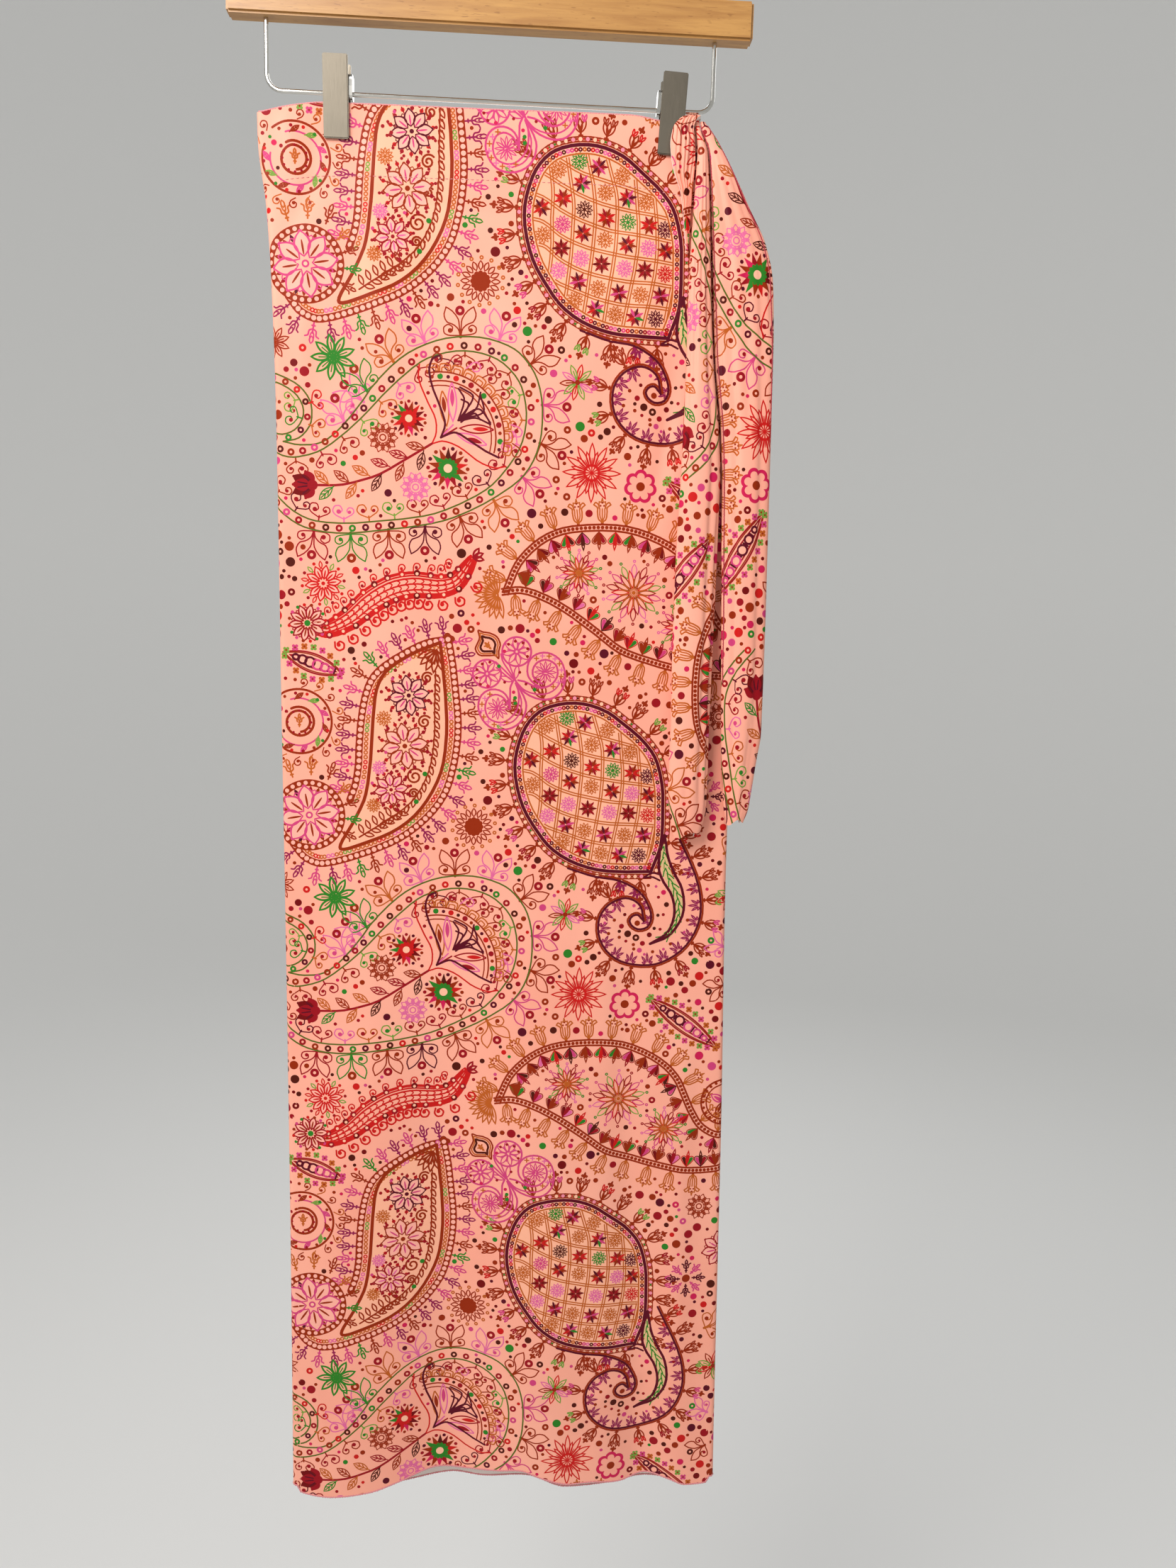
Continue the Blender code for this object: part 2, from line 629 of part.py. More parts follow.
def plate_inside(z):
    """How far a clip plate's inner face stands from the middle plane at a height."""
    return CLOTH + SEAM_GAP / 2 + CLEAR + CLIP_SPREAD * (z - CLIP_JAW)


def lean_about(clip):
    """Moves a point in a clip's own frame to the hanger's, turned by the clip's lean."""
    angle = math.radians(clip["lean_deg"])

    def moved(x, y, z):
        up = z - WIRE_BOTTOM
        return Vector(
            (
                clip["x"] + x * math.cos(angle) + up * math.sin(angle),
                y,
                WIRE_BOTTOM + up * math.cos(angle) - x * math.sin(angle),
            )
        )

    return moved


def make_clip_plate(clip, side, surface):
    """One jaw: a flat plate, spread at the top and closed on the cloth at the bottom."""
    moved = lean_about(clip)
    name = clip["name"] + ("_front" if side < 0 else "_back")
    builder = bmesh.new()
    corners = []
    for z in (CLIP_JAW, CLIP_TOP):
        for out in (0.0, CLIP_PLATE):
            for x in (-CLIP_WIDTH / 2, CLIP_WIDTH / 2):
                y = side * (plate_inside(z) + out)
                corners.append(builder.verts.new(moved(x, y, z) * MM))
    for indexes in (
        (0, 1, 3, 2),
        (4, 6, 7, 5),
        (0, 4, 5, 1),
        (2, 3, 7, 6),
        (0, 2, 6, 4),
        (1, 5, 7, 3),
    ):
        builder.faces.new([corners[i] for i in indexes])
    bmesh.ops.bevel(
        builder, geom=builder.edges[:], offset=CLIP_EDGE * MM, segments=2, affect="EDGES"
    )
    return place(name, finish_mesh(name, builder), surface)


def make_clip_hinge(clip, surface):
    """The spring block between the plates: the wire runs through it."""
    moved = lean_about(clip)
    name = clip["name"] + "_hinge"
    builder = bmesh.new()
    sides = 24
    hole = WIRE_ROD / 2 + CLEAR
    middle = (CLIP_HINGE_TOP + CLIP_HINGE_BOTTOM) / 2
    tall = (CLIP_HINGE_TOP - CLIP_HINGE_BOTTOM) / 2
    far = CLIP_WIDTH / 2 + CLIP_HINGE_PROUD
    near = CLIP_WIDTH / 2 - 1.0
    ends = (-near, far) if clip["hinge_side"] > 0 else (-far, near)
    loops = []
    for x in ends:
        outside, inside = [], []
        for k in range(sides):
            angle = 2 * math.pi * k / sides
            across, up = math.cos(angle), math.sin(angle)
            z = middle + tall * math.copysign(abs(up) ** 0.5, up)
            y = (plate_inside(z) - CLEAR) * math.copysign(abs(across) ** 0.5, across)
            outside.append(builder.verts.new(moved(x, y, z) * MM))
            bore = Vector((clip["x"] + x, hole * across, WIRE_BOTTOM + hole * up))
            inside.append(builder.verts.new(bore * MM))
        loops.append((outside, inside))
    (out_a, in_a), (out_b, in_b) = loops
    for k in range(sides):
        n = (k + 1) % sides
        builder.faces.new((out_a[k], out_a[n], out_b[n], out_b[k]))
        builder.faces.new((in_a[k], in_b[k], in_b[n], in_a[n]))
        builder.faces.new((out_a[k], in_a[k], in_a[n], out_a[n]))
        builder.faces.new((out_b[k], out_b[n], in_b[n], in_b[k]))
    return place(name, finish_mesh(name, builder), surface)


def main():
    clear_scene()
    cloth = material("printed_satin", PRINTED_PINK, 0.45, 0.0)
    tie_cloth = material("tie_satin", TIE_PINK, 0.45, 0.0)
    wood = material("beech", BEECH, 0.4, 0.0)
    nickel = material("satin_nickel", NICKEL, 0.35, 1.0)
    chrome = material("chrome", CHROME, 0.12, 1.0)
    make_bar(wood)
    make_hook(chrome)
    make_ferrule(chrome)
    make_wire(chrome)
    for clip in CLIPS:
        make_clip_plate(clip, -1, nickel)
        make_clip_plate(clip, 1, nickel)
        make_clip_hinge(clip, chrome)
    make_panel("skirt_front", -1, FRONT_HEM, FRONT_FOLDS, cloth)
    make_panel("skirt_back", 1, BACK_HEM, BACK_FOLDS, cloth)
    make_knot(tie_cloth)
    make_tie("tie_front", TIE_FRONT, TIE_FRONT_PLEATS, tie_cloth)
    make_tie("tie_side", TIE_SIDE, TIE_SIDE_PLEATS, tie_cloth)


main()
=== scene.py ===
# %% [markdown]
# # A printed sarong on a trouser hanger
#
# The real object is a narrow tube skirt of thin stretch satin with a knotted tie at one corner of
# its waist. Two sprung clips hold it flat from a wooden hanger. Nearly everything that the eye
# meets is cloth and its print, so most of this lesson is about those two.
#
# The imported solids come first. They are the fixed frame: each piece below is made in the same
# metres and hangs where its solid hangs.

# %% The frame
import math

import bmesh
import bpy
import numpy as np
from mathutils import Matrix, Vector


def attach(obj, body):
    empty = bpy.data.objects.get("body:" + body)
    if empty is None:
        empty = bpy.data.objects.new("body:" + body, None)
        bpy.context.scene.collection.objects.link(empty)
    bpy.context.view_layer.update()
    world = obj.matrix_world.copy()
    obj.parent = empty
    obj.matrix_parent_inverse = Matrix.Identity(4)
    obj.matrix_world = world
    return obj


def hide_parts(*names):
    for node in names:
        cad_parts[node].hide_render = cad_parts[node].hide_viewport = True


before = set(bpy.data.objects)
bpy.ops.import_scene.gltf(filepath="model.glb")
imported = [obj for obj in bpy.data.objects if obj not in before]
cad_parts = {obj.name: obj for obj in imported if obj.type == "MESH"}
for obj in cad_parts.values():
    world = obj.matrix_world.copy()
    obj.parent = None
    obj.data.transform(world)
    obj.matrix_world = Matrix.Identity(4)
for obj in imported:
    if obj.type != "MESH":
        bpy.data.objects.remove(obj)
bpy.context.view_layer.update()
MM = 0.001
TINY = 1e-9
random = np.random.default_rng(11)
print("solids:", ", ".join(sorted(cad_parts)))


def add_object(name, data):
    made = bpy.data.objects.new(name, data)
    bpy.context.scene.collection.objects.link(made)
    return made


# %% [markdown]
# ## Camera, floor and light
#
# The photograph was taken by hand from under a metre away, level with the middle of the skirt and
# looking a little down. A camera could be aimed at a point, but the hand also rolled it, so its
# three axes are written out from the turn, the tilt and the roll. The picture's height sets the
# lens, because the frame is taller than wide.

# %% Camera
CAMERA_PLACE = Vector((0.023, -0.84, -0.475))
TURN_DEG, TILT_DEG, ROLL_DEG = 3.58, -7.84, 1.47
PICTURE_HIGH = 2212
FOCAL_PIXELS = 1661.0
SENSOR = 36.0


def camera_axes():
    turn, tilt, roll = (math.radians(a) for a in (TURN_DEG, TILT_DEG, ROLL_DEG))
    ahead = Vector(
        (math.sin(turn) * math.cos(tilt), math.cos(turn) * math.cos(tilt), math.sin(tilt))
    )
    right = Vector((math.cos(turn), -math.sin(turn), 0.0))
    up = right.cross(ahead)
    return (
        right * math.cos(roll) + up * math.sin(roll),
        up * math.cos(roll) - right * math.sin(roll),
        -ahead,
    )


lens = bpy.data.cameras.new("camera")
lens.sensor_fit = "VERTICAL"
lens.sensor_height = SENSOR
lens.lens = FOCAL_PIXELS / PICTURE_HIGH * SENSOR
camera = add_object("camera", lens)
camera.matrix_world = Matrix.Translation(CAMERA_PLACE) @ Matrix(camera_axes()).transposed().to_4x4()
bpy.context.scene.camera = camera
print("lens in mm:", round(lens.lens, 2))

# %% [markdown]
# The light in the room is broad and comes from above, in front and a little from the left. Three
# large soft lamps do that: a strong one above, a weaker one lower down that fills in, and one
# behind the skirt for its back. A pale world fills the folds. The floor lies well below the hem
# and bends up into a wall all round, like a photographer's paper sweep, so that no horizon shows.
# It glows a little itself, because a wide wall would otherwise need lamps of its own.

# %% Floor and lamps
FLOOR_HEIGHT = -1.75
PALE = (0.62, 0.62, 0.61)
# Name, place, size, power and tint of each lamp, and the point that all are aimed at
LAMPS = (
    ("key", (-0.72, -1.0, 0.45), 0.8, 25.5, (1.0, 0.97, 0.94)),
    ("fill", (-0.6, -1.9, -0.4), 1.4, 4.0, (1.0, 0.98, 0.96)),
    ("rear", (0.5, 1.9, 0.5), 1.6, 17.0, (0.97, 0.98, 1.0)),
)
LAMPS_AIM = Vector((0.02, 0.0, -0.6))
WORLD_STRENGTH = 0.34
BOWL_WIDE, BOWL_HIGH, BOWL_BEND = 5.0, 6.8, 1.6
BOWL_MIDDLE = 0.01
BOWL_SIDES = 96
BOWL_ROUGHNESS = 0.9
BOWL_GLOW = 0.3


def hoop_faces(hoops, sides):
    """The points' numbers in hoops of points, and the squares between neighbouring hoops."""
    index = np.arange(hoops * sides).reshape(hoops, sides)
    after = np.roll(index, -1, axis=1)
    squares = np.stack([index[:-1], after[:-1], after[1:], index[1:]], -1)
    return index, squares.reshape(-1, 4).tolist()


def make_floor():
    flat = BOWL_WIDE - BOWL_BEND
    bend = np.radians(np.arange(0, 91, 6))
    profile = [(flat + BOWL_BEND * math.sin(a), BOWL_BEND * (1 - math.cos(a))) for a in bend]
    profile = [(BOWL_MIDDLE, 0.0), *profile, (BOWL_WIDE, BOWL_HIGH)]
    ways = [2 * math.pi * k / BOWL_SIDES for k in range(BOWL_SIDES)]
    spots = [
        (reach * math.cos(way), reach * math.sin(way), FLOOR_HEIGHT + up)
        for reach, up in profile
        for way in ways
    ]
    index, faces = hoop_faces(len(profile), BOWL_SIDES)
    mesh = bpy.data.meshes.new("floor")
    mesh.from_pydata(spots, [], [*faces, index[0].tolist()])
    mesh.shade_smooth()
    matt = bpy.data.materials.new("floor paint")
    matt.use_nodes = True
    shader = matt.node_tree.nodes["Principled BSDF"]
    shader.inputs["Base Color"].default_value = (*PALE, 1.0)
    shader.inputs["Roughness"].default_value = BOWL_ROUGHNESS
    shader.inputs["Emission Color"].default_value = (*PALE, 1.0)
    shader.inputs["Emission Strength"].default_value = BOWL_GLOW
    mesh.materials.append(matt)
    add_object("floor", mesh)


def make_light():
    world = bpy.data.worlds.new("room")
    bpy.context.scene.world = world
    world.use_nodes = True
    glow = world.node_tree.nodes["Background"]
    glow.inputs["Color"].default_value = (*PALE, 1.0)
    glow.inputs["Strength"].default_value = WORLD_STRENGTH
    for name, place, size, power, tint in LAMPS:
        light = bpy.data.lights.new(name, "AREA")
        light.energy = power
        light.size = size
        light.color = tint
        holder = add_object(name, light)
        holder.location = place
        aim = LAMPS_AIM - holder.location
        holder.rotation_euler = aim.to_track_quat("-Z", "Y").to_euler()


make_floor()
make_light()
bpy.context.scene.view_settings.view_transform = "Standard"
print("lamps:", len(LAMPS))

# %% [markdown]
# ## Arithmetic on sockets
#
# A finish is arithmetic: a mask times a colour, a distance less a width. Wiring Math nodes one by
# one hides that. The class below holds one output socket, and each operator on it adds the node
# that does the sum, so a formula in a material reads like the formula.

# %% A socket that can be added and multiplied
class Field:
    def __init__(self, tree, socket=None):
        self.tree = tree
        self.socket = socket

    def node(self, kind, inputs=None, out=0, **settings):
        """Any node: its settings first, then the values or links of its sockets."""
        made = self.tree.nodes.new(kind)
        for name, value in settings.items():
            if name == "stops":
                while len(made.color_ramp.elements) < len(value):
                    made.color_ramp.elements.new(1.0)
                for stop, (place, colour) in zip(made.color_ramp.elements, value):
                    stop.position = place
                    stop.color = (*colour, 1.0)
            else:
                setattr(made, name, value)
        for key, value in (inputs or {}).items():
            if isinstance(value, Field):
                self.tree.links.new(value.socket, made.inputs[key])
            else:
                made.inputs[key].default_value = value
        return Field(self.tree, made.outputs[out])

    def also(self, out):
        """Another output of the same node."""
        return Field(self.tree, self.socket.node.outputs[out])

    def into(self, shader, name):
        self.tree.links.new(self.socket, shader.inputs[name])

    def math(self, operation, *others):
        return self.node("ShaderNodeMath", dict(enumerate((self, *others))), operation=operation)

    def __add__(self, other):
        return self.math("ADD", other)

    def __sub__(self, other):
        return self.math("SUBTRACT", other)

    def __mul__(self, other):
        return self.math("MULTIPLY", other)

    def __truediv__(self, other):
        return self.math("DIVIDE", other)

    def __rsub__(self, other):
        return self.node("ShaderNodeMath", {0: other, 1: self}, operation="SUBTRACT")

    def __neg__(self):
        return self * -1.0

    def __abs__(self):
        return self.math("ABSOLUTE")

    def held(self, low, high):
        return self.math("MAXIMUM", low).math("MINIMUM", high)

    def parts(self):
        """The three numbers of a vector."""
        split = self.node("ShaderNodeSeparateXYZ", {0: self})
        return split, split.also(1), split.also(2)

    __radd__ = __add__
    __rmul__ = __mul__


def mixed(share, below, above):
    """A colour between two, by a mask."""
    inputs = {"Factor": share, 6: below, 7: above}
    return share.node("ShaderNodeMix", inputs, out=2, data_type="RGBA")


def start_finish(name, roughness, constants):
    """A new material, a blank field to build on, and its shader with the constants set."""
    made = bpy.data.materials.new(name)
    made.use_nodes = True
    shader = made.node_tree.nodes["Principled BSDF"]
    shader.inputs["Roughness"].default_value = roughness
    for key, value in constants.items():
        shader.inputs[key].default_value = value
    return made, Field(made.node_tree), shader


print("operators ready")

# %% [markdown]
# ## The print as pen strokes
#
# The cloth carries a paisley of the Indian kind, repeated every 37 cm. It is drawn in fine lines:
# thorny sprigs, beads, curls, small flowers, two large paisleys, a ring-dotted green band and a
# feather. A picture file would be one way and is not used, and painting each vertex would blur a
# half-millimetre line over a whole square of cloth.
#
# So the print is a chart of pen strokes, as a textile designer keeps it. A stroke is a straight
# run with a width. With a belly it swells to a lens, which is a petal or a leaf. With a taper it
# is a drop. With a line width only its outline shows, which makes rings and outlined petals. Long
# curves are chains of strokes. Points are complex numbers, because turning a sprig is then one
# multiplication.

# %% Inks and the single stroke
REPEAT = (364.0, 373.0)
CHART_CORNER = (-154.0, -860.0)
SOLID = 50.0
HAIR = 0.6
INKS = {
    "rust": "922A08",
    "red": "C61A18",
    "crimson": "96101C",
    "blood": "700A0C",
    "plum": "580A1E",
    "mauve": "8E1C4C",
    "hot": "CA1E50",
    "rose": "CC4076",
    "pink": "DC6496",
    "palepink": "EE8A9E",
    "green": "2C7A24",
    "band": "55621F",
    "olive": "74963C",
    "leaf": "DDB684",
    "orange": "B85A20",
    "brown": "50160A",
    "cream": "FBBB9C",
    "blush": "FAAE9C",
    "bare": "FBA690",
}


def linear(code):
    """A printed colour code as the linear numbers that a shader takes."""
    shares = [int(code[i : i + 2], 16) / 255 for i in (0, 2, 4)]
    return tuple(s / 12.92 if s <= 0.04045 else ((s + 0.055) / 1.055) ** 2.4 for s in shares)


def colours(names):
    return tuple(names.split())


def places(pairs):
    """Places on the cloth, written in millimetres as x z, x z."""
    return [complex(*map(float, pair.split())) for pair in pairs.split(",")]


MARKS = []


def mark(start, end, width, ink, belly=0.0, taper=0.0, line=0.0):
    """One stroke. taper is the share of its width that goes from its start to its end."""
    run = end - start
    way = run / abs(run) if abs(run) > 0 else 1.0
    middle = (start + end) / 2
    reach = max(abs(run) / 2, 0.01)
    hollow = line / 2 if line else SOLID
    shape = (reach, width / 2, belly, taper * width / 2, hollow)
    MARKS.append((middle.real, middle.imag, way.real, way.imag, *shape, *linear(INKS[ink])))


def dot(place, radius, ink):
    mark(place, place, radius * 2, ink)


def ring(place, radius, ink, line=HAIR):
    mark(place, place, radius * 2, ink, line=line)


print("inks:", len(INKS))

# %% [markdown]
# Curves are given by a few points that the pen goes through. The path between them is smooth, and
# then as few straight strokes as possible follow it, because each small square of cloth can hold
# only a handful of strokes. Walking along a path at an even pitch places beads and sprigs.

# %% Curves
def smooth(points, closed=False, step=1.0):
    """A path through a few points, which may be written as a string of places."""
    points = places(points) if isinstance(points, str) else points
    p = np.array([q if isinstance(q, complex) else complex(*q) for q in points])
    if closed:
        p = np.concatenate([p[-1:], p, p[:2]])
    else:
        p = np.concatenate([[2 * p[0] - p[1]], p, [2 * p[-1] - p[-2]]])
    path = []
    for a, b, c, d in zip(p, p[1:], p[2:], p[3:]):
        run = abs(c - b)
        leave = (c - a) / (run + abs(b - a)) * run
        arrive = (d - b) / (run + abs(d - c)) * run
        count = max(2, int(run / step) + 1)
        t = np.arange(count) / count
        path.append(
            b * (2 * t**3 - 3 * t**2 + 1)
            + leave * (t**3 - 2 * t**2 + t)
            + c * (3 * t**2 - 2 * t**3)
            + arrive * (t**3 - t**2)
        )
    return np.concatenate([*path, p[-2:-1]])


def headings(path):
    runs = np.gradient(path)
    return runs / np.maximum(np.abs(runs), TINY)


def beside(path, distance):
    """The path moved to its left."""
    return path + 1j * headings(path) * distance


def chords(path, slack=0.1):
    """Corners of the fewest straight strokes that stay close to a path."""
    first, kept = 0, [0]
    while first < len(path) - 1:
        last = first + 1
        while last + 1 < len(path):
            chord = path[last + 1] - path[first]
            inner = path[first + 1 : last + 1] - path[first]
            if np.abs((inner * chord.conjugate()).imag).max() > slack * abs(chord):
                break
            last += 1
        kept.append(last)
        first = last
    return path[kept]


def line(path, width, ink, at=0.0):
    corners = chords(beside(path, at) if at else path)
    for a, b in zip(corners, corners[1:]):
        mark(complex(a), complex(b), width, ink)


def walk(path, pitch, at=0.0):
    """Places and headings along a path at an even pitch, moved to its left."""
    gone = np.concatenate([[0.0], np.cumsum(np.abs(np.diff(path)))])
    count = max(1, round(gone[-1] / pitch))
    stops = (np.arange(count) + 0.5) * gone[-1] / count
    ways = headings(path)
    for stop in stops:
        place = complex(np.interp(stop, gone, path.real), np.interp(stop, gone, path.imag))
        way = complex(np.interp(stop, gone, ways.real), np.interp(stop, gone, ways.imag))
        way /= abs(way)
        yield place + 1j * way * at, way


def dots_along(path, pitch, at, radius, inks):
    """Dots at an even pitch beside a path. The inks take turns."""
    for k, (place, _) in enumerate(walk(path, pitch, at)):
        dot(place, radius, inks[k % len(inks)])


def rings_along(path, pitch, at, radius, inks, line, first=0):
    for k, (place, _) in enumerate(walk(path, pitch, at), first):
        ring(place, radius, inks[k % len(inks)], line)


def frame_at(root, way, size):
    """Turns along-and-across numbers of a sprig into places on the cloth."""
    return lambda a, b=0.0: root + way * size * complex(a, b)


def turned(degrees):
    return complex(math.cos(math.radians(degrees)), math.sin(math.radians(degrees)))


# %% [markdown]
# The small sprigs come next. Each is drawn once, growing from a root in a direction, and is used
# dozens of times: a thorn with three prongs, a bud on two leaves, a tulip, a pair of leaves with
# curls, a single curl with its seed, a veined leaf and a spray of three drops.

# %% Sprigs
def trident(root, way, size, ink):
    p = frame_at(root, way, size)
    mark(p(0), p(0.5), 0.9, ink)
    mark(p(0.14, -0.07), p(0.14, 0.07), 0.9, ink)
    for side in (-1, 1):
        line(smooth([p(0.3), p(0.4, 0.17 * side), p(0.62, 0.2 * side), p(0.7, 0.34 * side)]), 0.8, ink)
        line(smooth([p(0.42), p(0.54, 0.07 * side), p(0.72, 0.1 * side)]), 0.6, ink)
    mark(p(0.62), p(1.04), 0.24 * size, ink, belly=1.0, line=0.8)


def bud(root, way, size, ink, tip="red"):
    p = frame_at(root, way, size)
    mark(p(0), p(0.2), 1.2, ink)
    mark(p(0.05, -0.06), p(0.05, 0.06), 1.0, ink)
    mark(p(0.14), p(0.68), 0.2 * size, ink, belly=1.0, line=0.8)
    for side in (-1, 1):
        mark(p(0.12), p(0.6, 0.23 * side), 0.2 * size, ink, belly=1.0, line=0.8)
        mark(p(0.16), p(0.52, 0.1 * side), 0.7, ink)
        for b in (0.1, 0.25):
            mark(p(0.5, 0.16 * side), p(0.74, b * side), 0.11 * size, tip, belly=0.7, taper=0.3, line=0.7)
        ring(p(0.87, 0.08 * side), 0.055 * size, ink, 0.8)
    mark(p(0.76), p(1.02), 0.1 * size, ink, belly=0.6, line=0.8)


def tulip(root, way, size, ink):
    p = frame_at(root, way, size)
    dot(p(0.02), 0.9, "rust")
    for side in (-1, 1):
        cup = ((0.03, 0), (0.16, 0.15), (0.42, 0.2), (0.62, 0.2), (0.74, 0.35))
        line(smooth([p(a, b * side) for a, b in cup]), 0.75, ink)
        lip = ((0.74, 0.35), (0.83, 0.28), (0.76, 0.17), (0.58, 0.11))
        line(smooth([p(a, b * side) for a, b in lip]), 0.7, ink)
        line(smooth([p(0.05), p(0.3, 0.1 * side), p(0.56, 0.1 * side)]), 0.55, ink)
        mark(p(0.62, 0.14 * side), p(0.86, 0.13 * side), 0.6, ink)
        mark(p(0.86, 0.13 * side), p(0.84, 0.03 * side), 0.6, ink)
        mark(p(0.84, 0.04 * side), p(1.0), 0.6, ink)
        dot(p(0.7, 0.07 * side), 0.5, "rust")
    mark(p(0.05), p(0.58), 0.55, ink)
    dot(p(0.82), 0.5, "rust")


def curl(root, centre, radius, ink, side=1, seed=None, width=0.6):
    """A stem that winds round its seed, to the left when side is 1."""
    out = (root - centre) / abs(root - centre)
    loop = [
        centre + out * turned(side * turn) * radius * share
        for turn, share in ((62, 1.0), (120, 1.0), (180, 1.0), (240, 0.97), (300, 0.88), (352, 0.68))
    ]
    line(smooth([root, *loop]), width, ink)
    dot(centre + out * radius * 0.3, max(0.8, radius * 0.4), seed or ink)


def leaf(root, way, length, ink):
    p = frame_at(root, way, length)
    mark(p(0), p(1), 0.44 * length, ink, belly=1.0, line=0.65)
    mark(p(-0.06), p(0.84), 0.55, ink)
    for side in (-1, 1):
        for a in (0.28, 0.52):
            mark(p(a), p(a + 0.2, 0.13 * side), 0.5, ink)


def leaf_pair(root, way, size, ink, seed="crimson", bead=None):
    """Two broad leaves with a ring between their tips, and a curl on each side."""
    p = frame_at(root, way, size)
    mark(p(0), p(0.24), 1.3, ink, taper=-0.4)
    for side in (-1, 1):
        outer = [(0, 0), (0.28, 0.08), (0.44, 0.25), (0.55, 0.5), (0.8, 0.6), (1.08, 0.52)]
        inner = [(0.2, 0.02), (0.6, 0.06), (0.79, 0.16), (0.97, 0.33), (1.08, 0.52)]
        for edge in (outer, inner):
            line(smooth([p(a, b * side) for a, b in edge]), 0.65, ink)
        big = 0.2 if side > 0 else 0.165
        curl(p(0.05), p(0.26, 0.44 * side), big * size, ink, -side, seed)
    ring(p(0.95), 0.17 * size, bead or seed, 0.1 * size)


def curl_pair(root, way, size, ink, seed="crimson"):
    p = frame_at(root, way, size)
    mark(p(0), p(0.3), 0.8, ink)
    curl(p(0.2), p(0.72, 0.36), 0.3 * size, ink, -1, seed)
    curl(p(0.2), p(0.66, -0.38), 0.22 * size, ink, 1, seed)


def drops(root, way, size, inks):
    p = frame_at(root, way, size)
    for side, ink in zip((-1, 1), inks):
        end = root + way * turned(23 * side) * size * 0.56
        mark(p(0.06), end, 0.13 * size, ink, belly=0.2, taper=0.6)
        mark(p(0.06), end, 0.13 * size + 1.4, inks[2], belly=0.2, taper=0.6, line=0.45)
    mark(p(0.12), p(1.0), 0.2 * size, inks[2], belly=1.0, line=0.6)
    mark(p(0.2), p(0.66), 0.1 * size, inks[2], belly=0.3, taper=0.5)


def spiral(centre, radius, start, sweep, width, ink, end=0.2):
    turns = np.linspace(0, 1, 60)
    reach = radius * (1 - (1 - end) * turns)
    line(centre + reach * np.exp(1j * np.radians(start + sweep * turns)), width, ink)


# %% [markdown]
# Flowers are petals round a centre, so one function with a few numbers draws them all. Open flowers
# have outlined petals with a pale blush and a fine vein, asters have narrow outlined ones, sparks
# have solid rays, and the jewel flowers have solid triangles in many inks round a beaded disc.

# %% Flowers
def petals(centre, inner, outer, count, width, ink, turn=0.0, line=0.0, belly=1.0, taper=0.0):
    inks = ink if isinstance(ink, tuple) else (ink,)
    for k in range(count):
        way = turned(turn + 360.0 * k / count)
        start, end = centre + way * inner, centre + way * outer
        mark(start, end, width, inks[k % len(inks)], belly, taper, line)


def beads(centre, radius, count, size, ink, turn=0.0, line=0.0):
    inks = ink if isinstance(ink, tuple) else (ink,)
    for k in range(count):
        place = centre + radius * turned(turn + 360.0 * k / count)
        mark(place, place, size * 2, inks[k % len(inks)], line=line)


def open_flower(x, z, radius, ink, count=8, vein=None, turn=0.0, fill="blush", weight=0.9):
    c = complex(x, z)
    width = 4.5 * radius / count
    between, fine = turn + 180.0 / count, weight * 0.8
    petals(c, radius * 0.4, radius * 0.92, count, width * 0.7, ink, between, line=fine)
    if fill:
        petals(c, radius * 0.16, radius, count, width, fill, turn, taper=0.25)
    petals(c, radius * 0.16, radius, count, width, ink, turn, line=weight, taper=0.25)
    petals(c, radius * 0.3, radius * 0.74, count, weight, vein or ink, turn, belly=0.6)
    dot(c, radius * 0.1, ink)


def aster(x, z, radius, ink, count=12, turn=0.0):
    c = complex(x, z)
    petals(c, radius * 0.32, radius, count, 3.6 * radius / count, ink, turn, line=0.4)
    petals(c, 0.0, radius * 0.5, count // 2, 0.5, ink, turn, belly=0.0)
    dot(c, radius * 0.17, ink)


def spark(x, z, radius, inks, turn=0.0):
    c = complex(x, z)
    petals(c, radius * 0.3, radius * 0.66, 8, 0.5, "rust", turn + 22.5, belly=0.6)
    petals(c, radius * 0.06, radius, 8, 0.25 * radius, inks, turn)


def star(x, z, radius, ink, count=8, turn=0.0, line=0.7):
    c = complex(x, z)
    petals(c, radius * 0.1, radius, count, 3.2 * radius / count, ink, turn, line=line)
    petals(c, 0.0, radius * 0.62, count, 0.6, ink, turn, belly=0.0)
    dot(c, radius * 0.13, ink if isinstance(ink, str) else ink[0])


def double_flower(x, z, radius, ink, count=10):
    c = complex(x, z)
    petals(c, radius * 0.3, radius, count, 4.6 * radius / count, ink, line=0.6, taper=0.3)
    petals(c, radius * 0.34, radius * 0.94, count, 2.6 * radius / count, ink, 180.0 / count, line=0.5)
    beads(c, radius * 0.56, count, 0.5, ink)
    ring(c, radius * 0.24, ink, 0.65)


def jewel(x, z, radius, inks, collar, turn=0.0):
    c = complex(x, z)
    count = len(inks)
    petals(c, radius * 0.4, radius, count, 2.5 * radius / count, inks, turn, belly=0.0, taper=-1.0)
    beads(c, radius * 0.42, 14, radius * 0.07, collar)
    dot(c, radius * 0.41, collar)
    dot(c, radius * 0.2, "cream")
    beads(c, radius * 0.98, count, radius * 0.085, ("crimson", "rust", "plum"), turn + 180 / count)


def rosette(c, radius, ink, count=12):
    petals(c, radius * 0.12, radius, count, 3.0 * radius / count, ink, line=0.45)
    petals(c, 0.0, radius * 0.5, count, 0.4, ink, 180 / count, belly=0.0)


def cross(place, size, ink):
    for way in (1, 1j):
        mark(place - way * size, place + way * size, 0.6, ink)


def scatter(ink, radius, spots):
    for place in places(spots):
        dot(place, radius, ink)


print("pens ready")

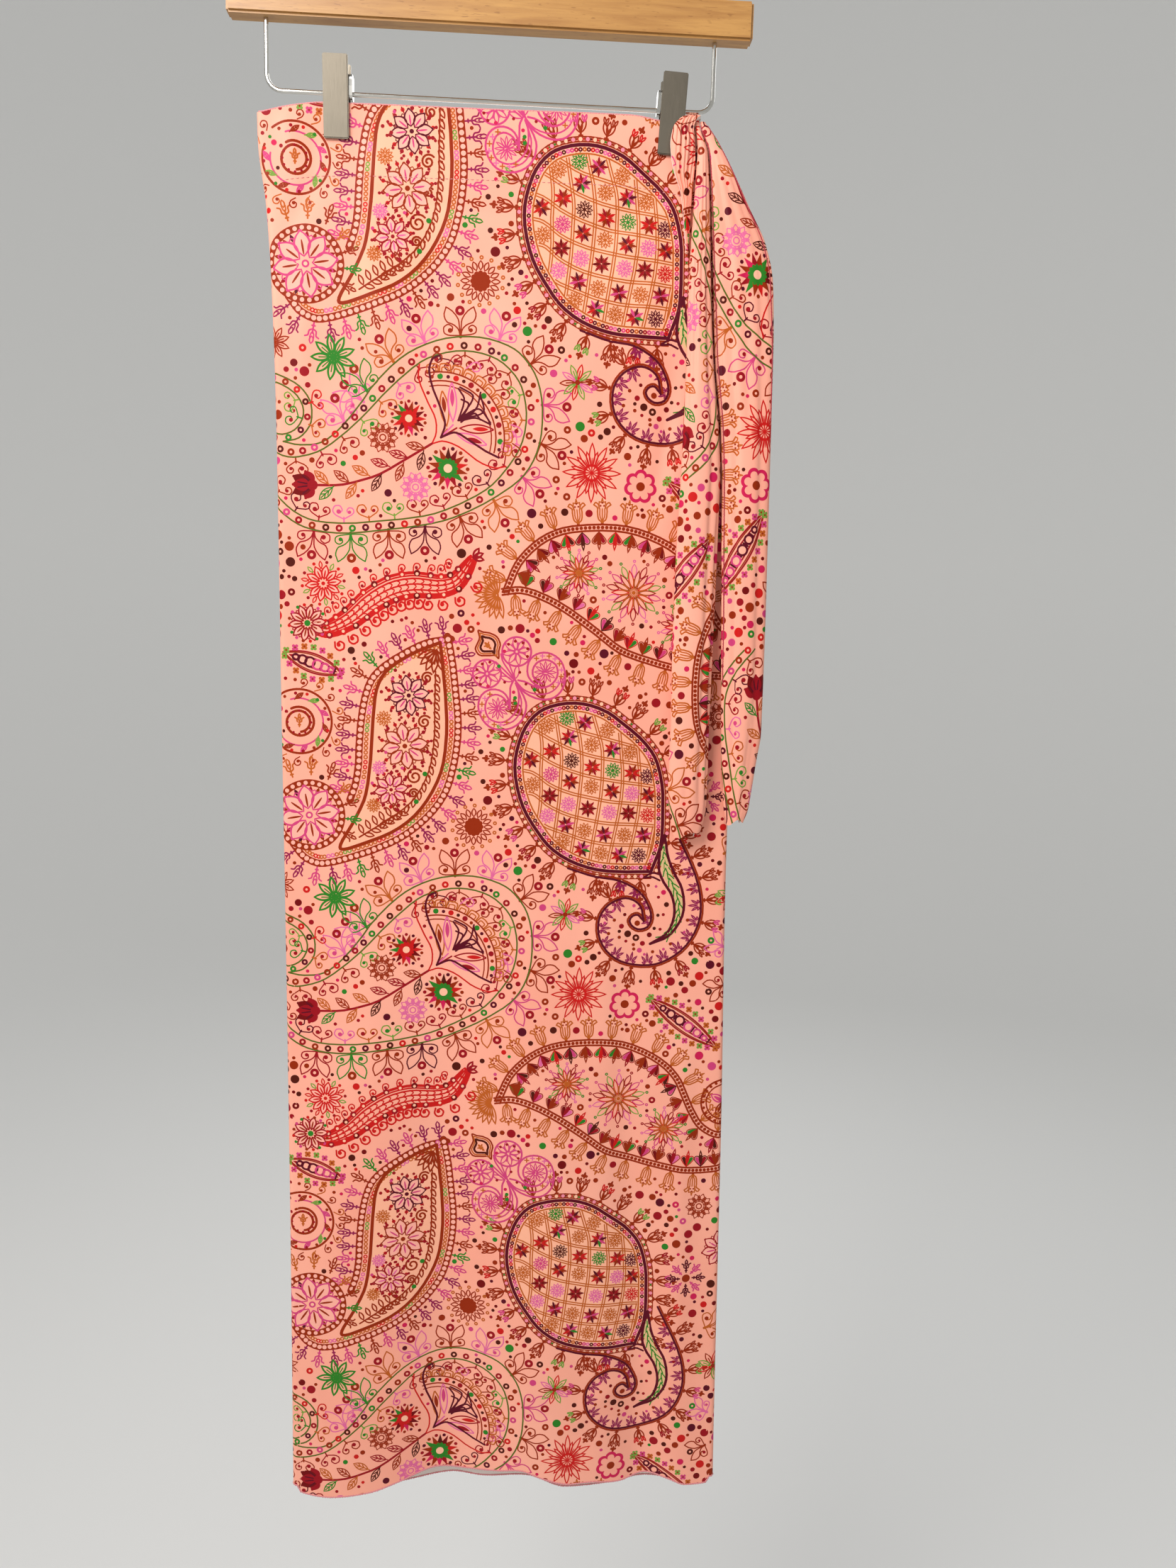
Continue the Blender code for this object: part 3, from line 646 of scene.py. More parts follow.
# %% [markdown]
# ## The chart of the repeat
#
# Motif by motif now, in millimetres on the flat front of the skirt. The lace of beads round the
# leaf-shaped paisley is a dark band with pale dots, a chain of links and a thick inner line that
# all follow one path, so the path is given once. It runs on into the circle round the pink flower.

# %% The leaf paisley and its pink flower
TRIDENT_INKS = colours("mauve mauve rose mauve rose green rust rose mauve rust")
LINK_PAIRS = colours("orange orange orange red orange pink orange olive")
LINK_INKS = [ink for ink in LINK_PAIRS for _ in range(2)]
HEART = (
    "-31 -492, -49 -499.5, -67.5 -512, -74.5 -524, -77 -540, -78 -557, -79.5 -579, -83 -602, "
    "-90 -618, -100.5 -639.5, -80 -634, -62 -626, -48 -615, -37 -600, -29 -581, -26 -557, "
    "-26.5 -535, -28.5 -513, -31 -492"
)


def leaf_paisley():
    outside = smooth(
        "-23.5 -487, -40 -490, -54 -496.5, -71 -507.5, -80 -517, -85 -529.5, -88 -546, -89.5 -564, "
        "-90 -579, -92 -592, -96 -604"
    )
    under = smooth(
        "-136 -638, -128 -648, -117 -653, -106 -652, -89.5 -647, -73 -641, -56.5 -633, -42 -622, "
        "-31 -610, -23.5 -597, -18.5 -579, -16 -562, -15.6 -546, -17.4 -527, -20 -505, -23.5 -487"
    )
    heart = smooth(HEART)
    for path in (outside, under):
        for k, (place, way) in enumerate(walk(path, 10.2, -0.6)):
            trident(place, way * -1j, 13.5, TRIDENT_INKS[k % len(TRIDENT_INKS)])
        line(path, 0.9, "crimson", 0.3)
        line(path, 4.6, "rust", 2.5)
        dots_along(path, 4.4, 2.5, 1.5, ("blush",))
        rings_along(path, 3.3, 7.1, 1.45, LINK_INKS, 0.6)
    line(heart, 2.1, "rust")
    vine = smooth("-34 -512, -34.5 -535, -34.5 -558, -38 -582, -47 -601, -58 -612, -72 -621")
    line(vine, 0.8, "rust")
    for place, way in walk(vine, 6.6, 0.3):
        tip = place + way * turned(-150) * -6.4
        mark(place, tip, 3.4, "rust", belly=0.7, taper=-0.4, line=0.85)
        dot(place + way * 1j * 1.3, 0.8, "rust")
    for turn, long in ((-156, 15), (-137, 16), (-117, 17), (-98, 17), (-74, 16)):
        root = complex(-33.3, -497)
        mark(root, root + turned(turn) * long, 5.4, "rust", belly=1.0, line=1.0)
        mark(root, root + turned(turn) * long * 0.6, 0.8, "rust")
    tendrils = places("-41.6 -548, -40 -517, -41 -567, -48.2 -587, -49 -599")
    for place, radius in zip(tendrils, (4.8, 4.2, 3.2, 6, 3.4)):
        spiral(place, radius, 40, 560, 1.1, "rust")
    for x, z, radius, ink, vein in (
        (-52.6, -529.5, 13.5, "plum", "rose"),
        (-55.2, -565.3, 15.5, "rust", "rose"),
        (-64.7, -596.6, 11.5, "crimson", "pink"),
    ):
        c = complex(x, z)
        beads(c, radius * 1.06, 14, 1.2, ("red", "crimson"), 12)
        beads(c, radius * 1.22, 12, 0.9, "crimson", 12)
        petals(c, radius * 0.7, radius * 1.18, 14, 0.6, "crimson", 12, belly=0.0)
        open_flower(x, z, radius, ink, 8, vein, turn=9)
    for k in range(6):
        root = complex(-84, -628.5) + (complex(-60, -613) - complex(-84, -628.5)) * (k / 5)
        for turn in (100, -26):
            mark(root, root + turned(turn + 16) * 8.0, 3.6, "rust", belly=1.0, line=0.85)
    line(smooth("-87 -631, -74 -623, -59 -613"), 0.9, "rust")
    aster(-70, -546, 5.6, "orange", 12)
    aster(-73, -581, 5.2, "pink", 12)
    aster(-77, -608, 5.2, "orange", 12)
    scatter("crimson", 1.1, "-62 -512, -66 -531, -41 -533, -67 -553, -43 -577, -60 -611")
    scatter("rose", 1.0, "-68.5 -570, -64 -518, -57 -581, -78 -592")
    scatter("green", 1.6, "-41 -585, -47 -605")


def pink_flower():
    c = complex(-122.5, -616)
    ring(c, 25.5, "rust", 4.6)
    beads(c, 23.2, 30, 1.3, "blush")
    petals(c, 15, 20.5, 22, 2.4, ("rust", "crimson", "rust", "plum"), 5, belly=0.8)
    open_flower(-122.5, -616, 20.5, "rose", 8, "rust", turn=10, weight=1.2)
    dot(c, 2.4, "rose")
    dot(c, 1.1, "cream")
    above = ((-134, -589, 108, "orange"), (-121, -587, 90, "orange"), (-109, -590, 70, "rust"))
    for x, z, turn, ink in above:
        trident(complex(x, z), turned(turn), 13, ink)
    for turn, ink in ((38, "orange"), (18, "rust"), (-4, "green"), (-26, "rust")):
        trident(c + 26 * turned(turn), turned(turn), 11, ink)


# %% [markdown]
# The big paisley on the right holds a curved lattice with a flower in every cell. The flowers'
# places are the chart, and the lattice lines are drawn halfway between neighbours, which bends
# them with the paisley as the real ones bend. Its border, from outside in, is a thin line, a row of
# pale beads and short dashes, a second thin line, a thick plum line and a row of small rings.

# %% The lattice paisley
LATTICE_OUTLINE = (
    "122.8 -654, 129.4 -634, 129.9 -606.5, 128.8 -590, 123.3 -571, 113.4 -558, 100 -547, 87 -538, "
    "71.6 -533, 56 -533, 41 -538, 31 -548, 25 -562.5, 22.7 -577, 24.3 -592, 29.3 -608, 37.5 -622, "
    "48.5 -636, 63 -646, 80.4 -652, 100 -654, 122.8 -654"
)
# The flowers' places in each column of cells, the lowest of them in row 6
CELL_COLUMNS = (
    "22 -545, 21 -556, 20 -571, 21 -590, 22 -606, 20 -622",
    "34 -543, 35 -560, 34 -573.5, 35.5 -591, 35.5 -604.5, 32 -621",
    "42 -534, 45 -549, 48.5 -567, 48.5 -583.5, 48 -599, 46.5 -613.5, 45 -629",
    "59 -543, 61 -557, 63 -573.5, 62.5 -588.5, 61.5 -605, 60 -620, 58 -632",
    "72 -546, 77 -562, 78 -578, 77.5 -592, 75.5 -608, 73.5 -624, 72 -637.5",
    "88 -551, 92 -565, 92.7 -580, 92.5 -595, 91 -610.5, 87.8 -626.5, 85.7 -640.5",
    "104.6 -567, 107 -581.8, 107 -596.6, 105 -611, 102.4 -627, 99 -641.7",
    "117 -569, 118 -584, 119 -597.7, 119 -612.5, 116.5 -627, 113.4 -642",
    "130 -571, 130 -586, 131 -599, 131 -614, 129 -628, 127 -643",
)
CELL_ROWS = 7
CELLS = [dict(enumerate(c, CELL_ROWS - len(c))) for c in map(places, CELL_COLUMNS)]
ASTER_INKS = {
    (3, 0): "green", (5, 2): "green", (3, 2): "brown", (7, 2): "plum", (1, 3): "plum", (7, 6): "plum",
    (1, 1): "pink", (2, 3): "rose", (3, 4): "pink", (5, 4): "pink", (6, 3): "pink", (2, 5): "pink",
    (7, 4): "red",
}
STAR_INKS = tuple(map(colours, (
    "crimson plum crimson rose", "red rust crimson red", "crimson blood",
    "plum rose crimson red crimson plum green rose", "red crimson plum rust",
)))
LINK_BEADS = colours("cream palepink cream cream palepink")
BUD_TIPS = colours("rust red rust rose crimson rust olive")
DASHES = colours("red rust crimson rust green red brown")
RING_ROW = colours("plum crimson rose pink brown rose red plum orange")
LINE_OFFSET = 0.85


def inside(path, place):
    turns = np.angle((path[1:] - place) / (path[:-1] - place))
    return abs(turns.sum()) > math.pi


def lattice_line(points, outline):
    """Two fine lines along a path, only where it runs inside the outline."""
    path = smooth(points)
    kept = np.array([inside(outline, q) for q in path])
    starts = np.flatnonzero(np.diff(kept.astype(int))) + 1
    for run, shown in zip(np.split(path, starts), np.split(kept, starts)):
        if shown[0] and len(run) > 3:
            for side in (1, -1):
                line(run, 0.6, "orange", LINE_OFFSET * side)


def between_cells(pairs):
    """Places halfway between neighbouring flowers, carried on past both ends."""
    halfway = [(a + b) / 2 for a, b in pairs]
    first = halfway[0] * 2.6 - halfway[1] * 1.6
    return [first, *halfway, halfway[-1] * 2.6 - halfway[-2] * 1.6]


def lattice_paisley():
    outline = smooth(LATTICE_OUTLINE)
    within = beside(outline, 6.2)
    for k, (place, way) in enumerate(walk(outline, 15.6, -4.9)):
        bud(place, way * -1j, 18, "rust", BUD_TIPS[k % len(BUD_TIPS)])
    for left, right in zip(CELLS, CELLS[1:]):
        rows = sorted(set(left) & set(right))
        lattice_line(between_cells([(left[row], right[row]) for row in rows]), within)
    for row in range(CELL_ROWS - 1):
        pairs = [(column[row], column[row + 1]) for column in CELLS if row in column]
        lattice_line(between_cells(pairs), within)
    room = beside(outline, 9.0)
    for column, cells in enumerate(CELLS):
        for row, place in cells.items():
            if not inside(room, place):
                continue
            if (column + row) % 2:
                ink = ASTER_INKS.get((column, row), "orange")
                aster(place.real, place.imag, 5.8, ink, turn=9 * column)
            else:
                inks = STAR_INKS[(column * 5 + row * 3) % len(STAR_INKS)]
                spark(place.real, place.imag, 6.4, inks, turn=12 * row)
    line(outline, 0.8, "orange", 5.6)
    rings_along(outline, 3.0, 3.0, 1.35, RING_ROW, 0.75)
    line(outline, 2.1, "plum")
    line(outline, 0.9, "rust", -2.1)
    line(outline, 0.9, "rust", -5.0)
    for k, (place, way) in enumerate(walk(outline, 4.6, -3.5)):
        mark(place - way * 2.3, place + way * 2.3, 1.1, DASHES[k % len(DASHES)])
        dot(place, 1.5, "rust")
        dot(place, 1.15, LINK_BEADS[k % len(LINK_BEADS)])


# %% [markdown]
# A tail curls out of the big paisley's point: a double line in rust and plum that ends in a hook
# round a seed, with five-leaf plum sprigs on both of its banks and buds outside. Beside it lies a
# long leaf with a thick plum rim and a net of green veins.

# %% The tail of the lattice paisley
def five_leaves(root, way, size, ink="mauve"):
    for turn, share in ((-64, 0.5), (-32, 0.85), (0, 1.0), (32, 0.85), (64, 0.5)):
        start = root + way * turned(turn) * size * 0.16
        mark(start, root + way * turned(turn) * size * share, 0.2 * size, ink, belly=1.0, line=0.65)


def at_even_steps(path, steps=60):
    at, own = np.linspace(0, 1, steps), np.linspace(0, 1, len(path))
    return np.interp(at, own, path.real) + 1j * np.interp(at, own, path.imag)


def paisley_tail():
    inner_bank = smooth(
        "62.5 -651, 80 -656.5, 100 -660, 116 -669, 123 -680, 125 -689, 122 -696, 115 -698, "
        "109.5 -695, 107.5 -690.5, 110 -686.5, 114.5 -685.6, 119.4 -690.5"
    )
    outer_bank = smooth(
        "119.4 -690.5, 117 -680, 111 -674.5, 103 -673, 92.5 -677.5, 86 -686, 84.4 -696, 86.5 -706, "
        "92.5 -715, 102.5 -722, 116 -725, 131 -723.5, 146 -715, 156 -702.5, 161 -687.5, "
        "160.6 -672.5, 157 -658, 151 -644, 140 -622"
    )
    for k, (place, way) in enumerate(walk(outer_bank[30:], 16.4, -1.2)):
        bud(place, way * -1j, 17, "rust", BUD_TIPS[k * 3 % len(BUD_TIPS)])
    for place, way in walk(outer_bank[28:-14], 13.6, 1.4):
        five_leaves(place, way * 1j, 9.0)
    for place, way in walk(inner_bank[36:-36], 12.4, -1.0):
        five_leaves(place, way * -1j if place.real > 90 else way, 8.4)
    for path, side in ((inner_bank, -1), (outer_bank, 1)):
        line(path, 1.3, "plum", 0.8 * side)
        line(path, 1.1, "rust", -0.7 * side)
    dot(complex(114, -692.5), 1.9, "rust")
    left = smooth(
        "132 -627, 129 -640, 128.6 -652, 132 -661, 138 -670, 141 -680, 140.5 -690, 136 -700, "
        "124 -708"
    )
    right = smooth(
        "132 -627, 135 -643, 140 -655, 145.5 -665, 148 -677, 147 -687, 142.5 -696, 136 -703, "
        "124 -708"
    )
    spine = (at_even_steps(left) + at_even_steps(right)) / 2
    line(spine[6:-8], 5.6, "leaf")
    for k, (place, way) in enumerate(walk(spine[4:-6], 4.0)):
        side = 1 if k % 2 else -1
        vein = [place, place + way * (2 + 1.6j * side), place + way * (5.4 + 3.2j * side)]
        line(smooth(vein), 0.6, "green")
        mark(place, place + way * 4.2 - way * 1j * side * 0.7, 0.6, "green")
    for path in (left, right):
        line(path, 1.7, "plum")
    line(smooth("129 -656, 124 -655, 118 -658.5, 124 -658, 129.5 -660.5"), 1.1, "plum")
    scatter("rust", 1.1, "97 -690, 101 -703, 112 -712, 126 -714, 139 -708, 151 -690, 93 -700")
    scatter("crimson", 1.0, "131 -697, 133 -686, 129 -673, 153 -667, 150 -655, 99 -668, 106 -706")
    scatter("rose", 0.9, "120 -716, 134 -712, 149 -699, 96 -683, 127 -665, 90 -692")


# %% [markdown]
# A band of rings between two green lines loops over the left half, with leafy curls on both
# sides, and a fan opens from its end.

# %% The green ring band
BAND_OUTER = (
    "-138.3 -731.7, -127.8 -733.6, -113.3 -731.7, -101 -722.8, -86 -705, -78.5 -694, -64 -678.6, "
    "-51 -668.7, -34.5 -661.6, -18 -658.8, -1.5 -659.4, 14 -664, 23 -670, 32 -682, 36.4 -696, "
    "37.5 -711.6, 36 -727, 31 -741, 23 -752, 10 -762, -7 -772, -27.8 -781, -50 -786, -72 -789, "
    "-94 -791.7, -113 -791, -128 -787, -141 -778, -150 -768"
)
BAND_INNER = (
    "-146 -738, -137 -741.5, -128 -741.5, -113.7 -737, -99.4 -727, -84 -713, -72 -700, -58.7 -687, "
    "-45.5 -676, -34.5 -671, -18 -668, -1.5 -670, 11 -676, 21.6 -688, 26 -703, 26 -718, 22 -732, "
    "13 -746, 1.8 -758, -14.7 -768, -34.5 -776.5, -53 -780.5, -72 -782.8, -94 -785, -117 -784, "
    "-130 -779, -141 -770, -150 -760"
)
BAND_SPRIGS = (
    (-84, -704, 140, "pink"), (-81.5, -697, 122, "green"), (-64, -677, 124, "orange"),
    (-42.7, -664, 112, "pink"), (-19, -659, 92, "rust"), (7, -661, 74, "pink"),
    (28, -676, 40, "rust"), (37, -702, -2, "rose"), (36, -727.5, -26, "rust"),
    (24, -750, -42, "rose"), (5, -766.6, -62, "orange"), (-18.5, -777.6, -68, "rust"),
    (-42, -785, -90, "plum"), (-67, -788.6, -88, "rust"), (-93, -791.5, -88, "green"),
    (-118, -790, -96, "crimson"), (-97, -718, 112, "pink"),
)
BAND_CURLS = (
    (-128, -704, 190, "olive"), (-126, -716, 165, "green"), (-121, -706, 20, "red"),
    (-121, -720, -20, "orange"),
)
RING_INKS = colours("brown rust crimson rose rust red brown crimson plum green crimson")
CURL_INKS = colours("rust crimson rust olive orange pink crimson plum")


def ring_band():
    outer, inner = smooth(BAND_OUTER), smooth(BAND_INNER)
    for x, z, heading, ink in BAND_SPRIGS:
        seed = {"pink": "rose", "orange": "rust", "rose": "crimson"}.get(ink, ink)
        bead = "rust" if ink == "green" else "crimson"
        leaf_pair(complex(x, z), turned(heading), 18, ink, seed, bead)
    for k, (place, way) in enumerate(walk(inner[8:], 17.5, -0.4)):
        ink = CURL_INKS[k % len(CURL_INKS)]
        curl_pair(place, way * -1j, 11.5, ink, {"olive": "green", "pink": "rose"}.get(ink, "crimson"))
    for path in (outer, inner):
        line(path, 0.85, "band")
    rings_along(inner, 8.9, 3.4, 2.3, RING_INKS, 1.25)
    hook = smooth(
        "-150 -686, -141 -688, -128 -694.4, -120.6 -703.3, -118.9 -712.2, -120.6 -721, -127.8 -729, "
        "-138.3 -731.7"
    )
    core = smooth(
        "-150 -692, -141 -693.5, -130 -700, -125 -708, -125 -715.6, -130 -723.3, -139 -727, "
        "-148 -725"
    )
    for path in (hook, core):
        line(path, 0.85, "band")
    rings_along(core, 8.6, 2.8, 2.1, RING_INKS, 1.2, first=3)
    for x, z, turn, ink in BAND_CURLS:
        curl_pair(complex(x, z), turned(turn), 10, ink, "crimson")


# %% [markdown]
# The fan is a half disc. From outside in it has looped scallops, a ring of dots, four long petals
# with drops in them, and a plume of curved plum leaves. Two swooping lines run along its edges.

# %% The fan
FAN_ROOT = complex(-31.7, -725.6)
FAN_FROM, FAN_TO = -17, 103
# Petals of the fan: tip, root, outline and the drop inside
FAN_PETALS = (
    ((-31.0, -695.5), (-27.5, -720), "orange", "rust"),
    ((-24.6, -690.0), (-23.5, -717), "pink", "rose"),
    ((3.5, -719.5), (-21.0, -719), "crimson", "red"),
    ((-1.0, -729.5), (-23.0, -722), "pink", "crimson"),
)
# Leaves of the plume: root, bend and tip
FAN_PLUME = (
    ((-20, -714), (-16, -700), (-20, -693)), ((-20, -714), (-10, -698), (-19, -692)),
    ((-19, -714), (-8, -706), (-5, -695)), ((-19, -713), (-3, -708), (-5, -697)),
    ((-18, -712), (-6, -706), (2, -715)), ((-18, -714), (-8, -712), (2, -716)),
    ((-18, -713), (-13, -703), (-18, -700)), ((-18, -715), (-9, -709), (-5, -713)),
)


def fan():
    def arc(radius, low=FAN_FROM, high=FAN_TO):
        return np.array([FAN_ROOT + radius * turned(a) for a in range(high, low, -3)])

    for k, (place, way) in enumerate(walk(arc(43.6), 8.2)):
        for size, weight in ((3.6, 0.7), (2.1, 0.6)):
            loop = [place + way * size * 1.0, place + way * (size * 0.9 + 1.3j * size),
                    place + way * (-size * 0.9 + 1.3j * size), place - way * size * 1.0]
            line(smooth(loop), weight, "orange")
    for k, (place, way) in enumerate(walk(arc(50.0), 12.5)):
        ink = ("rust", "crimson", "pink", "rust")[k % 4]
        curl(place - way * (3 + 1j), place + way * (2.4 + 2.4j), 3.3, ink, -1, "crimson")
    for radius, width, ink in ((43.4, 0.8, "rust"), (37.6, 0.8, "rust"), (34.6, 0.6, "rust")):
        line(arc(radius), width, ink)
    for k, (place, way) in enumerate(walk(arc(40.5), 5.6)):
        dot(place, 1.8 if k % 2 else 1.1, ("rust", "crimson", "brown", "red", "plum", "green")[k * 5 % 6])
    for tip, root, ink, drop in FAN_PETALS:
        a, b = complex(*root), complex(*tip)
        mark(a, b, 6.4, ink, belly=1.0, taper=0.25, line=0.8)
        mark(a + (b - a) * 0.45, a + (b - a) * 0.86, 2.6, drop, belly=0.9, taper=0.1)
        line(smooth([a, FAN_ROOT]), 0.9, ink)
    for root, bend, tip in FAN_PLUME:
        line(smooth([root, bend, tip]), 1.0, "plum")
    for swoop in (
        "-28.9 -716.7, -32.2 -705.6, -37.8 -692.2, -40 -681, -37.8 -673.8, -33 -671.5",
        "-22 -722, -11 -727.8, -1 -733.9, 8 -738",
    ):
        line(smooth([FAN_ROOT, *places(swoop)]), 1.2, "plum")
    line(smooth("-46.7 -677.8, -47.2 -686.7, -42 -700, -35.6 -713, -35 -723, -37.8 -730"), 0.8, "red")
    line(smooth("-37.8 -730, -30 -728, -18.9 -731.7, -5.6 -741, 5.6 -745, 12.5 -743.8"), 0.8, "red")


# %% [markdown]
# The rose on its stem, the two jewel flowers and the loose flowers fill the inside of the band.

# %% The rose and the loose flowers
# Leaves on the stem of the rose: root, turn and ink
STEM_LEAVES = (
    (-108, -759, 138, "orange"), (-94, -757.5, 144, "rust"), (-80.5, -752.5, 152, "orange"),
    (-67, -746, 162, "crimson"), (-54.5, -739.5, 166, "crimson"), (-42.8, -733, 170, "rust"),
    (-105, -761, -138, "green"), (-89, -758, -124, "orange"), (-72, -752, -120, "brown"),
    (-57, -744, -112, "rust"), (-43.5, -735.5, -104, "brown"),
)


def rose():
    c = complex(-122, -760)
    for turn in (100, -100, 150, -150, 180):
        reach = {100: 9, 150: 11, 180: 10}[abs(turn)]
        mark(c + 3, c + reach * turned(turn), 8.0, "blood" if reach == 11 else "crimson", belly=0.8)
    for turn in (165, -165, 120, -120):
        mark(c + 4, c + 7 * turned(turn), 0.7, "plum", belly=0.3)
    dot(c + 3.2, 3.4, "crimson")
    line(smooth("-118 -760, -100 -759.4, -84 -755.5, -72 -751, -55.6 -741, -38 -730"), 1.4, "crimson")
    for x, z, turn, ink in STEM_LEAVES:
        leaf(complex(x, z), turned(turn), 13, ink)


# Lines of the pink wheels, which all leave one node: width, then the way
WHEEL_LINES = (
    (1.1, "22 -517, 24 -520.5, 28 -525, 34 -528.5, 41 -530.3, 49 -529, 54.5 -524, 57 -517, "
          "56.5 -509, 53.5 -502.5, 48 -498.5, 42.5 -497.2, 36.5 -498.5, 32 -502.5, 30.3 -508, "
          "31 -514, 34.5 -518.5, 39 -521"),
    (0.8, "23 -518.5, 28 -523.5, 34 -526, 40 -526.7, 46 -525.5, 51 -522, 54 -517"),
    (1.1, "24 -517, 29 -518, 34 -520.5, 40 -522, 46 -520.5, 50.5 -516, 51.8 -511, 50.5 -506, "
          "46.5 -503, 42 -502.3, 37 -504.5, 34.2 -509, 34.5 -514, 37.5 -517.5, 41 -519"),
    (1.1, "22 -517, 24.5 -522, 28 -528, 30 -534, 29 -541, 25.5 -547, 19.5 -551, 12 -552.3, "
          "4.5 -550.5, -1 -545, -3.8 -537, -2.5 -529.5, 2 -525, 8 -523.8, 14 -526, 17.5 -531, "
          "18.5 -537"),
    (0.8, "22 -519, 24.5 -525, 26.5 -532, 25.5 -540, 21 -546, 14 -549"),
    (1.1, "20.5 -517.5, 18.6 -522, 18.6 -527, 18.5 -536"),
    (1.0, "23 -519, 24.6 -527, 24.2 -535, 21.5 -541, 16 -546, 10 -547, 3.5 -544, 1 -537, "
          "3 -530, 8 -527.5, 13 -529, 17 -533.5, 18.5 -537.5"),
    (0.9, "11.6 -499, 13 -504, 17 -510, 21.8 -517"),
    (0.8, "17.5 -506, 19.5 -511, 22 -517"),
    (0.9, "8 -504.5, 13 -509, 18 -514, 21.5 -517"),
    (0.8, "8.5 -508.5, 14 -513, 20 -517.5"),
)


def pink_wheels():
    for width, way in WHEEL_LINES:
        line(smooth(way), width, "rose")
    for c, radius in ((complex(22.6, -497), 10.7), (complex(2, -513), 10.4)):
        ring(c, radius, "rose", 1.1)
        petals(c, radius * 0.1, radius * 0.94, 8, 0.34 * radius, "rose", 12, line=0.6)
        petals(c, radius * 0.1, radius * 0.6, 8, 0.4, "rose", 34, belly=0.0)
    for c, first in ((complex(43, -511), -60), (complex(10, -537.3), 120)):
        rosette(c, 8.0, "rose")
        for k in range(9):
            cross(c + 11.6 * turned(first + 23 * k), 1.5, ("orange", "pink")[k % 2])
    for petal in ("20.5 -518, 10.8 -514.6, 14.5 -518.6", "22 -516.5, 23.6 -506, 25 -511.4"):
        root, tip, beside_it = places(petal)
        mark(root, tip, 4.0, "rose", belly=1.0, line=0.7)
        dot(beside_it, 0.9, "crimson")
    scatter(
        "crimson", 0.9,
        "16.8 -492, 21.5 -489.8, 26.9 -490.8, 30.3 -494.8, 30.2 -500.2, -1.4 -506.2, 3.9 -504.8, "
        "-5 -510.3, -5.2 -516, -2.5 -520.5, 29.5 -519.6, 22.3 -537"
    )
    scatter("green", 1.2, "10.3 -507.5, 35.6 -523.4, 22 -529.5, 22.2 -533.4")
    scatter("hot", 1.1, "2.8 -521.7, 20.9 -525.5, 14 -497")


def loose_flowers():
    inks = colours("red blood red rust crimson green rust green red blood red hot rust blood")
    jewel(-53.6, -713.7, 11.6, inks, "red")
    inks = colours("red rust blood brown rust green rust crimson hot rust hot crimson green rust")
    jewel(-26.7, -746.1, 13.8, inks, "green", 12)
    double_flower(-71, -727, 9.6, "rust")
    double_flower(-48.7, -759.4, 9.6, "pink")
    c = complex(-111.9, -826.3)
    open_flower(c.real, c.imag, 12, "red", 10, turn=8)
    beads(c, 14.5, 10, 1.0, ("crimson", "red"), 8)
    petals(c, 10, 15.5, 10, 2.6, ("red", "olive"), 26, line=0.6)
    c = complex(-104.4, -675.3)
    star(c.real, c.imag, 15.5, "green", 9, turn=101, line=1.2)
    dot(c, 2.4, "green")
    star(-144, -667, 11, "rust", 9, turn=60)
    c = complex(72.3, -745.9)
    for first, reach, wide, turn in ((3, 20.5, 4.4, 0), (4, 15, 3.0, 15)):
        petals(c, first, reach, 12, wide, "red", turn, line=0.65)
    petals(c, 0, 10, 12, 0.7, "red", 0, belly=0.8)
    c = complex(106.6, -754)
    beads(c, 7.2, 7, 4.3, "hot", 90)
    beads(c, 6.6, 7, 2.5, "bare", 90)
    dot(c, 6.2, "bare")
    dot(c, 2.9, "rust")
    star(61, -686, 12.5, ("rust", "olive", "red", "olive", "pink"), 10, turn=5, line=0.65)
    c = complex(-6, -622.5)
    beads(c, 5.2, 12, 1.6, "rust")
    dot(c, 5.6, "rust")
    petals(c, 7.0, 13.6, 16, 3.6, "rust", line=0.75)
    beads(c, 15.4, 14, 1.3, "orange", 11, line=0.7)
    c = complex(2.4, -493)
    spade = places(
        "-6.9 10, -5.9 5, -7.4 1, -8.7 -3, -5.9 -7, 0.6 -7.3, 5.1 -7, 7.6 -9, 7.6 -4, 8.6 1, 6.1 6, "
        "1.1 8.5, -3.4 9"
    )
    for scale, ink, width in ((1.0, "rust", 0.9), (0.82, "orange", 0.7), (0.6, "brown", 1.3)):
        line(smooth([c + scale * place for place in spade], closed=True), width, ink)
    trident(c + 2 - 2.4j, turned(135), 6.0, "orange")


def side_flowers():
    """The stretch between two repeats, most of which only the back shows."""
    leaf_pair(complex(181, -711), turned(154), 14, "pink", "rose", "green")
    leaf_pair(complex(181, -739), turned(203), 14, "rust", "crimson", "brown")
    leaf_pair(complex(176, -640), turned(20), 18, "orange", "rust", "crimson")
    leaf_pair(complex(205, -520), turned(150), 18, "pink", "rose", "crimson")
    open_flower(186, -575, 14, "crimson", 8, "rose", turn=12)
    double_flower(168, -540, 9.6, "rust")
    double_flower(196, -610, 9.6, "pink")
    star(184, -672, 12.5, ("rust", "olive", "red"), 9)
    aster(199, -694, 7.5, "crimson", 16)
    inks = colours("red rust blood rust green red hot rust crimson blood")
    jewel(200, -548, 9.5, inks, "brown")
    c = complex(160, -598)
    for turn in range(0, 360, 45):
        trident(c + 5 * turned(turn), turned(turn), 10, ("plum", "rose")[turn // 45 % 2])
    dot(c, 3, "rust")


